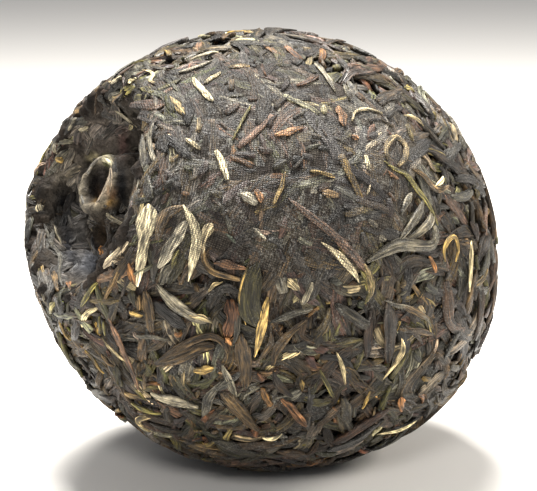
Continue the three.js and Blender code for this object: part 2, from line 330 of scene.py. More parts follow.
def direction_at(x, y):
    """The direction from the cake's middle to where a pixel's ray meets the outline."""
    from_middle = VIEW_PLACE + ray_at(x, y) * VIEW_DEPTHS[:, None] - MIDDLE
    directions = unit(from_middle)
    surface = outline_points(directions) - MIDDLE
    beyond = np.linalg.norm(from_middle, axis=1) - np.linalg.norm(surface, axis=1)
    inside = np.flatnonzero(beyond < 0)
    return directions[inside[0] if len(inside) else np.argmin(beyond)]


CLOTH_SPOTS = (  # pixel of the middle, spread in degrees
    ((250, 125), 34), ((330, 150), 30), ((190, 130), 26), ((300, 215), 20), ((166, 156), 21),
    ((218, 222), 15),
)
CLOTH_SPOT_BEHIND = (unit(np.array([0.25, 0.8, 0.55])), 36)
CLOTH_STRENGTH, CLOTH_EDGE = 1.25, (0.38, 0.72)
CLOTH_PATCHES = ((17, 5, 7, 0.22),)  # wavelength, seed, waves, height


def cloth_share(directions):
    """From 0, where strips lie loose, to 1, where the cloth pressed them flush."""
    share = np.zeros(directions.shape[:-1])
    spots = [(direction_at(*pixel), spread) for pixel, spread in CLOTH_SPOTS]
    for towards, spread in spots + [CLOTH_SPOT_BEHIND]:
        away = angle_between(directions, towards) / math.radians(spread)
        share = np.maximum(share, CLOTH_STRENGTH * np.exp(-(away**2)))
    share += roughness(directions * EQUATOR_RADIUS, CLOTH_PATCHES)
    return smoothstep(share, *CLOTH_EDGE)


# ---- meshes ----
def fill(layer, field, values, kind=np.float32):
    layer.foreach_set(field, np.asarray(values).astype(kind).ravel())


def mesh_piece(name, vertices, faces, material, tints, pressed, strips=None, bared=None):
    """A mesh of the cake from arrays, riding on the cake's body in place of its plain solid."""
    mesh = bpy.data.meshes.new(name)
    corners = np.concatenate([part.reshape(-1) for part in faces])
    counts = np.concatenate([np.full(len(part), part.shape[1]) for part in faces])
    mesh.vertices.add(len(vertices))
    fill(mesh.vertices, "co", vertices * METRES)
    mesh.loops.add(len(corners))
    fill(mesh.loops, "vertex_index", corners, np.int32)
    mesh.polygons.add(len(counts))
    fill(mesh.polygons, "loop_start", np.r_[0, np.cumsum(counts)[:-1]], np.int32)
    mesh.update(calc_edges=True)
    fill(mesh.polygons, "use_smooth", np.ones(len(counts)), bool)
    for layer, places in (("Weave", cloth_places(vertices)), ("Strip", strips)):
        if places is not None:
            fill(mesh.uv_layers.new(name=layer).data, "uv", places[corners])
    colours = mesh.color_attributes.new("Tint", "FLOAT_COLOR", "POINT")
    fill(colours.data, "color", np.c_[tints, np.ones(len(tints))])
    for layer, values in (("Pressed", pressed), ("Bared", bared)):
        if values is not None:
            fill(mesh.attributes.new(layer, "FLOAT", "POINT").data, "value", values)
    mesh.materials.append(material)
    mesh.validate()
    piece = bpy.data.objects.new(name, mesh)
    bpy.context.scene.collection.objects.link(piece)
    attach(piece, "root")
    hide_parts("tuocha")
    return piece


def tube_faces(tubes, rings, section):
    """The faces of closed tubes whose rings of points follow one another: quads, and end caps."""
    start = np.arange(rings - 1)[:, None] * section
    place = np.arange(section)
    following = (place + 1) % section
    quads = np.stack([
        start + section + place, start + section + following, start + following, start + place,
    ], axis=-1).reshape(-1, 4)
    caps = np.stack([place, (rings - 1) * section + place[::-1]])
    first = np.arange(tubes)[:, None, None] * rings * section
    return [(part + first).reshape(-1, part.shape[1]) for part in (quads, caps)]


# ---- strips of leaf ----
# Places across a strip's top, from edge to edge, and under it. Narrow strips take fewer.
WIDE_TOP = np.array([-1.0, -0.8, -0.54, -0.27, 0.0, 0.27, 0.54, 0.8, 1.0])
NARROW_TOP = np.array([-1.0, -0.7, -0.3, 0.1, 0.5, 1.0])
UNDER = np.array([0.75, -0.75])
NARROW_WIDTH, RIDGE_KNOTS = 1.5, 5
RIDGE_LASTING, RIDGE_FOLD, RIDGE_CHANGING = 0.35, 0.55, 0.45
EDGE_DROP_POWER, DIP_POWER, DIP_SHARE = 2.2, 3, (0.3, 1)
WAVE_PACES, RAGGED_PACES = (4, 9), (5, 13)  # radians along a strip
PIVOT_SHARE = (0.2, 0.8)  # where along a strip its twist turns about
# Painted light and shade in a strip's tint: on its top, its ridges, its edges and underneath.
# Ridge crests are painted lighter and grooves darker: painted highlight and painted shade.
TOP_SHADE, RIDGE_SHADE, SHADE_BOUNDS = 0.95, 0.55, (0.2, 2.4)
# Edges: painted shade on some strips, a painted rim highlight on others; underside: painted shade.
EDGE_SHADE, UNDER_SHADE, FLAT_SHADE_LOSS = (-0.5, 0.7), 0.55, 0.6
PATTERN_ROOM = 900  # how far apart the strips' streaks may start, in millimetres
TABLE_SOFTNESS = 0.3


def ridges(draws, strips, steps, places):
    """Long ridges and grooves over strips, from about -1 to 1, that change slowly along them."""
    lasting = draws.normal(size=(strips, 1, places))
    fold = np.abs(draws.normal(size=(strips, 1, places)))
    fold = fold * np.where((np.arange(places) + draws.integers(0, 2, (strips, 1, 1))) % 2, 1, -1)
    knots = draws.normal(size=(strips, RIDGE_KNOTS, places))
    spot = np.linspace(0, RIDGE_KNOTS - 1, steps)
    first = np.minimum(spot.astype(int), RIDGE_KNOTS - 2)
    changing = lerp(knots[:, first], knots[:, first + 1], (spot - first)[None, :, None])
    return RIDGE_LASTING * lasting + RIDGE_FOLD * fold + RIDGE_CHANGING * changing


def along_waves(draws, share, size, paces):
    """A gentle seeded wave along each strip."""
    strips = len(share)
    pace = draws.uniform(*paces, (strips, 1))
    return size * np.sin(share * pace + draws.uniform(0, 2 * math.pi, (strips, 1)))


def strip_mesh(centres, normals, make):
    """Closed strips along many centre lines at once.

    centres and normals are (strips, steps, 3). make holds one value a strip: width, thickness,
    level (the height of the top over the surface), dip (how far its ends sink), end (the share
    of width left at its ends), blunt (how late it narrows), belly (1 if it is widest in the
    middle, less if nearer its start), roll (how far its edges drop), crease (depth of its
    ridges), ragged, twist, wave, tilt, cap (the height that nothing of it passes), flat (how
    evenly it is coloured), and tint (strips, 3). It also holds the seed and the places across.
    """
    strips, steps = centres.shape[:2]
    draws = np.random.default_rng(make["seed"])
    top_places = make["places"]
    places = np.concatenate([top_places, UNDER])
    share = np.broadcast_to(np.linspace(0, 1, steps), (strips, steps))
    tangents = unit(np.gradient(centres, axis=1))
    sides = unit(np.cross(normals, tangents))
    ups = unit(np.cross(tangents, sides))

    def per(name):
        return make[name][:, None]

    middle_out = np.abs(2 * share ** per("belly") - 1)
    taper = 1 - (1 - per("end")) * middle_out ** per("blunt")
    half = per("width") / 2 * taper
    thick = per("thickness") * (0.5 + 0.5 * taper)
    level = (
        per("level")
        - per("dip") * middle_out**DIP_POWER * draws.uniform(*DIP_SHARE, (strips, 1))
        + along_waves(draws, share, per("wave"), WAVE_PACES)
        + per("tilt") * (share - 0.5)
    )
    relief = ridges(draws, strips, steps, len(top_places))
    edge_drop = (per("roll") * thick)[..., None] * np.abs(top_places) ** EDGE_DROP_POWER
    top = level[..., None] - edge_drop + per("crease")[..., None] * relief * taper[..., None]
    under = np.repeat((level - thick)[..., None], len(UNDER), axis=2)
    left, right = (
        1 + along_waves(draws, share, per("ragged"), RAGGED_PACES)[..., None] for _ in range(2)
    )
    across = places * half[..., None] * np.where(places < 0, left, right)
    turn = (per("twist") * (share - draws.uniform(*PIVOT_SHARE, (strips, 1))))[..., None]
    pivot = (level - thick / 2)[..., None]
    lift = np.concatenate([top, under], axis=2) - pivot
    turned_across = across * np.cos(turn) - lift * np.sin(turn)
    turned_height = across * np.sin(turn) + lift * np.cos(turn) + pivot
    turned_height = np.minimum(turned_height, make["cap"][:, None, None])
    vertices = (
        centres[:, :, None]
        + sides[:, :, None] * turned_across[..., None]
        + ups[:, :, None] * turned_height[..., None]
    )
    # Painted light and shade: lighter ridge crests, darker grooves, shaded or highlit edges, darker
    # underside.
    edge = draws.uniform(*EDGE_SHADE, (strips, 1, 1))
    shade = np.clip(TOP_SHADE + RIDGE_SHADE * relief, *SHADE_BOUNDS)
    shade *= 1 + edge * np.abs(top_places) ** 3
    shade = 1 + (shade - 1) * (1 - FLAT_SHADE_LOSS * make["flat"][:, None, None])
    shade = np.concatenate([shade, np.full((strips, steps, len(UNDER)), UNDER_SHADE)], axis=2)
    tints = make["tint"][:, None, None] * shade[..., None]
    along = (share * per("length"))[..., None] + draws.uniform(0, PATTERN_ROOM, (strips, 1, 1))
    sideways = across + draws.uniform(0, PATTERN_ROOM, (strips, 1, 1))
    strip_places = np.stack(np.broadcast_arrays(along, sideways), axis=-1)
    return (
        on_table(vertices.reshape(-1, 3)), tube_faces(strips, steps, len(places)),
        tints.reshape(-1, 3), strip_places.reshape(-1, 2),
    )


def on_table(vertices):
    """Flattens what reaches under the flat spot onto the table, keeping what lies over what."""
    height = vertices[:, 2]
    vertices[:, 2] = (height + np.sqrt(height**2 + TABLE_SOFTNESS**2)) / 2
    return vertices


def joined(parts):
    """Several (vertices, faces, tints, places) as one."""
    vertices, faces, tints, places = zip(*parts)
    starts = np.cumsum([0] + [len(part) for part in vertices])
    groups = {}
    for start, part in zip(starts, faces):
        for group in part:
            groups.setdefault(group.shape[1], []).append(group + start)
    groups = [np.vstack(group) for group in groups.values()]
    return np.vstack(vertices), groups, np.vstack(tints), np.vstack(places)


WIGGLE_PACE, WIGGLE_SHIFT = 16, 9
HEADING_NOISE = ((42, 11, 7, 1.5), (21, 12, 7, 0.9))  # wavelength, seed, waves, turn in radians
MOUTH_ANGLE = math.radians(33)


def walk(middle, heading, length, bend, wiggle, steps):
    """Directions along strips that run through their middles in a heading over the outline."""
    travel = np.linspace(-0.5, 0.5, steps)[None, :] * (length / EQUATOR_RADIUS)[:, None]
    sideways = np.cross(middle, heading)
    bend, wiggle = bend[:, None], wiggle[:, None]
    drift = bend * travel**2 + wiggle * np.sin(travel * WIGGLE_PACE + bend * WIGGLE_SHIFT)
    return unit(
        middle[:, None]
        + heading[:, None] * travel[..., None]
        + sideways[:, None] * drift[..., None]
    )


def outside_directions(count, draws, shake):
    """Directions spread evenly by a golden spiral, each shaken a little, clear of the hollow."""
    index = np.arange(count) + 0.5
    along = 1 - 2 * index / count
    across = np.sqrt(1 - along**2)
    turn = index * math.pi * (3 - math.sqrt(5))
    spread = np.stack([along, across * np.cos(turn), across * np.sin(turn)], axis=1)
    spread = spread @ np.array([AXIS, SIDEWAYS, UPWARD])
    spread = unit(spread + draws.normal(size=(count, 3)) * shake)
    return spread[angle_between(spread, AXIS) > MOUTH_ANGLE]


def lay_of_leaves(directions):
    """The heading, in radians from the line round the axis, that strips near a place tend to."""
    return roughness(directions * EQUATOR_RADIUS, HEADING_NOISE)


def headings_at(directions, angles):
    round_axis = unit(np.cross(AXIS, directions))
    to_hollow = np.cross(directions, round_axis)
    return round_axis * np.cos(angles)[:, None] + to_hollow * np.sin(angles)[:, None]


# The kinds of strip: how common they are loose and in the cloth zone, sizes in millimetres, and
# two colours between which each one falls.
KINDS = {
    "charcoal": dict(
        loose=0.28, pressed=0.24, length=(7, 19), width=(1.1, 3.6),
        dark=(26, 23, 20), light=(76, 69, 58),
    ),
    "bark": dict(
        loose=0.27, pressed=0.23, length=(7, 19), width=(1.1, 3.4),
        dark=(34, 27, 20), light=(104, 88, 67),
    ),
    "plum": dict(
        loose=0.12, pressed=0.15, length=(7, 18), width=(1.2, 3.4),
        dark=(40, 31, 27), light=(104, 84, 70),
    ),
    "slate": dict(
        loose=0.11, pressed=0.20, length=(6, 16), width=(1.2, 3.4),
        dark=(54, 52, 46), light=(148, 141, 124),
    ),
    "moss": dict(
        loose=0.11, pressed=0.09, length=(6, 17), width=(1.0, 3.0),
        dark=(33, 31, 22), light=(104, 98, 66),
    ),
    "straw": dict(
        loose=0.03, pressed=0.02, length=(4, 12), width=(0.8, 1.8),
        dark=(104, 88, 58), light=(168, 146, 106),
    ),
    "russet": dict(
        loose=0.03, pressed=0.025, length=(3, 9), width=(0.8, 1.8),
        dark=(84, 62, 48), light=(146, 112, 84),
    ),
    "ivory": dict(
        loose=0.03, pressed=0.025, length=(5, 14), width=(0.8, 1.9),
        dark=(138, 123, 96), light=(214, 202, 170),
    ),
}

TONE, SEEN_TONE = 0.6, 0.84
LOOSE_RICHNESS, PRESSED_RICHNESS = 1.4, 1.15
SIZE_SHAPE, WIDTH_SHAPE, TINT_SHAPE = (1.6, 2.4), (1.5, 2.5), (1.0, 1.8)  # of beta draws
TINT_CAST = 0.05
SEEDS = 1 << 30

OUTER_STRIPS, OUTER_SHAKE = 3100, 0.02
STEPS_ALONG = ((0, 9, 7), (9, 13.5, 9), (13.5, 99, 12))  # shortest, longest, steps
# For loose strips and for pressed ones: how much wider they are, how far their headings stray in
# radians, and how strongly they bend and wiggle.
WIDENINGS, HEADING_SPREADS = (1.12, 1.15), (0.5, 0.35)
BENDS, WIGGLES = (1.8, 0.8), (0.012, 0.0036)
CROSSING_TURNS, CROSSING_ODDS = (0, math.pi / 2), (0.8, 0.2)
# The heights of their tops over the outline, from the uppermost to the deepest.
LOOSE_LEVELS, LOOSE_LEVEL_POWER, PRESSED_LEVELS = (-0.05, -2.25), 1.15, (-0.02, -0.32)
# A share of the width, and the least and the most that it may come to.
LOOSE_THICKNESS, PRESSED_THICKNESS = (0.4, 0.5, 1.0), (0.25, 0.35, 0.6)
CREASE_GROWTH = (0.5, 0.6, 1.3)

# Measures of strips. First where a strip lies loose: a range, a spread about 0, or a list to
# choose from. Then what that comes to where it is pressed, if it changes there.
OUTER_LAY = dict(
    dip=((0.2, 1.3), 0.12), tilt=(0.6, 0.05), end=([0.12, 0.45, 0.85], None),
    blunt=((1.6, 6), None), belly=((0.7, 1.4), None), ragged=((0.08, 0.34), None),
    roll=((-0.4, 1.0), 0.3), crease=((0.08, 0.22), 0.04), twist=(0.7, 0.04),
    wave=((0, 0.25), 0.02), cap=((0.0, 0.28), (-0.06, 0.03)),
)
END_ODDS = (0.3, 0.35, 0.35)
SEEN_LAY = dict(
    level=((0.0, 0.2), 0.05), dip=((0.2, 0.9), 0.1), end=((0.08, 0.4), None),
    blunt=((1.4, 3.5), None), ragged=((0.1, 0.25), None), roll=((0.0, 0.6), 0.3),
    crease=((0.13, 0.24), 0.06), twist=(0.25, 0.02), wave=((0, 0.15), 0.01),
)
IVORY_LAY = SEEN_LAY | dict(end=((0.08, 0.12), None), blunt=((1.4, 1.8), None))
CRUMB_LAY = dict(
    dip=((0, 0.5), 0.05), tilt=(0.5, 0.02), end=((0.3, 0.9), None), blunt=((1.5, 4), None),
    ragged=((0.1, 0.3), None), roll=((0, 0.9), None), crease=((0.05, 0.15), 0.03),
    twist=(0.7, 0.02), cap=((-0.1, 0.3), (-0.04, 0.03)),
)
HOLLOW_LAY = dict(
    dip=((0.1, 0.5), None), tilt=(0.1, None), end=((0.1, 0.7), None), blunt=((1.6, 4), None),
    belly=((0.8, 1.25), None), ragged=((0.05, 0.2), None), roll=((0.1, 0.7), None),
    crease=((0.05, 0.13), None), twist=(0.35, None), wave=((0, 0.08), 0),
    cap=((0.05, 0.3), (0.0, 0.12)),
)


def laid(lay, draws, pressed, growth=1.0):
    """A value a strip for each measure in a table; loose creases are deeper by growth."""
    measures = {}
    for name, (loose, flush) in lay.items():
        if isinstance(loose, tuple):
            values = draws.uniform(*loose, len(pressed))
        elif isinstance(loose, list):
            values = draws.choice(loose, size=len(pressed), p=END_ODDS)
        else:
            values = draws.normal(size=len(pressed)) * loose
        if name == "crease":
            values = values * growth
        if isinstance(flush, tuple):
            flush = draws.uniform(*flush, len(pressed))
        measures[name] = values if flush is None else lerp(values, flush, pressed)
    return measures


def bounded(width, share, least, most):
    return np.clip(share * width, least, most)


def lengths_of(centres):
    return np.linalg.norm(np.diff(centres, axis=1), axis=2).sum(axis=1)


def strip_sizes(kind, count, draws, pressed):
    """Lengths and widths, with many small ones and few large, a little wider where pressed."""
    share = draws.beta(*SIZE_SHAPE, count)
    width_share = np.clip(0.5 * share + 0.5 * draws.beta(*WIDTH_SHAPE, count), 0, 1)
    width = lerp(*KINDS[kind]["width"], width_share)
    return lerp(*KINDS[kind]["length"], share), width * lerp(*WIDENINGS, pressed)


def richer(tints, pressed):
    """Tints with their colour drawn out from grey, less so where the cloth pressed them."""
    grey = tints.mean(axis=-1, keepdims=True)
    richness = lerp(LOOSE_RICHNESS, PRESSED_RICHNESS, pressed)[:, None]
    return np.maximum(grey + (tints - grey) * richness, 0.001)


def kind_tint(kind, share):
    return lerp(linear(*KINDS[kind]["dark"]), linear(*KINDS[kind]["light"]), share[:, None])


def tints_of(kind, pressed, draws):
    """A tint for each strip of a kind, from how far the cloth pressed each."""
    share = draws.beta(*TINT_SHAPE, len(pressed))
    cast = 1 + draws.normal(size=(len(pressed), 3)) * TINT_CAST
    return richer(kind_tint(kind, share) * cast, pressed) * TONE


def outer_strips(kind, directions, draws):
    """The strips of one kind that cover the outside, from their middles."""
    parts = []
    pressed = cloth_share(directions)
    length, width = strip_sizes(kind, len(directions), draws, pressed)
    for narrow in (False, True):
        for low, high, steps in STEPS_ALONG:
            chosen = (length >= low) & (length < high) & ((width < NARROW_WIDTH) == narrow)
            if chosen.any():
                parts.append(outer_strip_group(
                    kind, directions[chosen], pressed[chosen], length[chosen], width[chosen],
                    steps, NARROW_TOP if narrow else WIDE_TOP, draws,
                ))
    return joined(parts)


def outer_strip_group(kind, directions, pressed, length, width, steps, places, draws):
    """Those of a kind whose meshes have as many steps along them and places across."""
    count = len(directions)
    angles = lay_of_leaves(directions) + draws.normal(size=count) * lerp(*HEADING_SPREADS, pressed)
    angles += draws.choice(CROSSING_TURNS, size=count, p=CROSSING_ODDS)
    bend = draws.normal(size=count) * lerp(*BENDS, pressed)
    wiggle = draws.normal(size=count) * lerp(*WIGGLES, pressed)
    line = walk(directions, headings_at(directions, angles), length, bend, wiggle, steps)
    centres = outline_points(line)
    depth = draws.uniform(0, 1, count)
    loose_level = lerp(*LOOSE_LEVELS, depth**LOOSE_LEVEL_POWER)
    level = lerp(loose_level, lerp(*PRESSED_LEVELS, depth), pressed)
    make = dict(
        seed=int(draws.integers(SEEDS)), places=places, length=length, width=width,
        thickness=lerp(
            bounded(width, *LOOSE_THICKNESS), bounded(width, *PRESSED_THICKNESS), pressed,
        ),
        level=under_seen(centres, width, level, pressed), flat=pressed,
        **laid(OUTER_LAY, draws, pressed, bounded(width, *CREASE_GROWTH)),
        tint=tints_of(kind, pressed, draws),
    )
    return strip_mesh(centres, outline_normals(line), make)


def kind_odds(where):
    odds = np.array([kind[where] for kind in KINDS.values()])
    return odds / odds.sum()


def scattered_strips():
    """Every kind's strips over the outside, drawn from one even spread of places."""
    draws = np.random.default_rng(31)
    places = outside_directions(OUTER_STRIPS, draws, OUTER_SHAKE)
    odds = lerp(kind_odds("loose"), kind_odds("pressed"), cloth_share(places)[:, None])
    picks = (draws.uniform(size=(len(places), 1)) > np.cumsum(odds, axis=1)).sum(axis=1)
    picks = np.minimum(picks, len(KINDS) - 1)
    return {
        name: [outer_strips(name, places[picks == number], draws)]
        for number, name in enumerate(KINDS)
    }


# ---- the strips that stand out in the photograph ----
def pixels_of(points):
    """Where points fall in the photograph, and how far from the camera they are."""
    offset = points - VIEW_PLACE
    depth = -(offset @ VIEW_BACK)
    x = PHOTO_WIDTH / 2 + VIEW_FOCAL_PIXELS * (offset @ VIEW_RIGHT) / depth
    y = PHOTO_HEIGHT / 2 - VIEW_FOCAL_PIXELS * (offset @ VIEW_UP) / depth
    return x, y, depth


class SeenSkin:
    """Finds the place on the skin that a pixel of the photograph shows."""

    FIRST_TRAVEL, TRAVEL_STEP, TURN_STEP = 20.0, 0.4, math.radians(0.4)
    NEAR_PIXELS, FRONT_DEPTH = 2.0, 1.5

    def __init__(self):
        travel = np.arange(self.FIRST_TRAVEL, SKIN.length - 1, self.TRAVEL_STEP)[:, None]
        turn = np.arange(0, 2 * math.pi, self.TURN_STEP)[None, :]
        travel, turn = np.broadcast_arrays(travel, turn)
        points = SKIN.points(travel, turn)
        normals = np.cross(np.gradient(points, axis=0), np.gradient(points, axis=1))
        facing = ((VIEW_PLACE - points) * normals).sum(axis=-1) > 0
        self.travel, self.turn = travel[facing], turn[facing]
        self.x, self.y, self.depth = pixels_of(points[facing])

    def place(self, x, y):
        away = (self.x - x) ** 2 + (self.y - y) ** 2
        near = np.flatnonzero(away <= max(away.min(), self.NEAR_PIXELS**2))
        front = near[self.depth[near] < self.depth[near].min() + self.FRONT_DEPTH]
        best = front[np.argmin(away[front])]
        return self.travel[best], self.turn[best]


SEEN_STEPS = 14
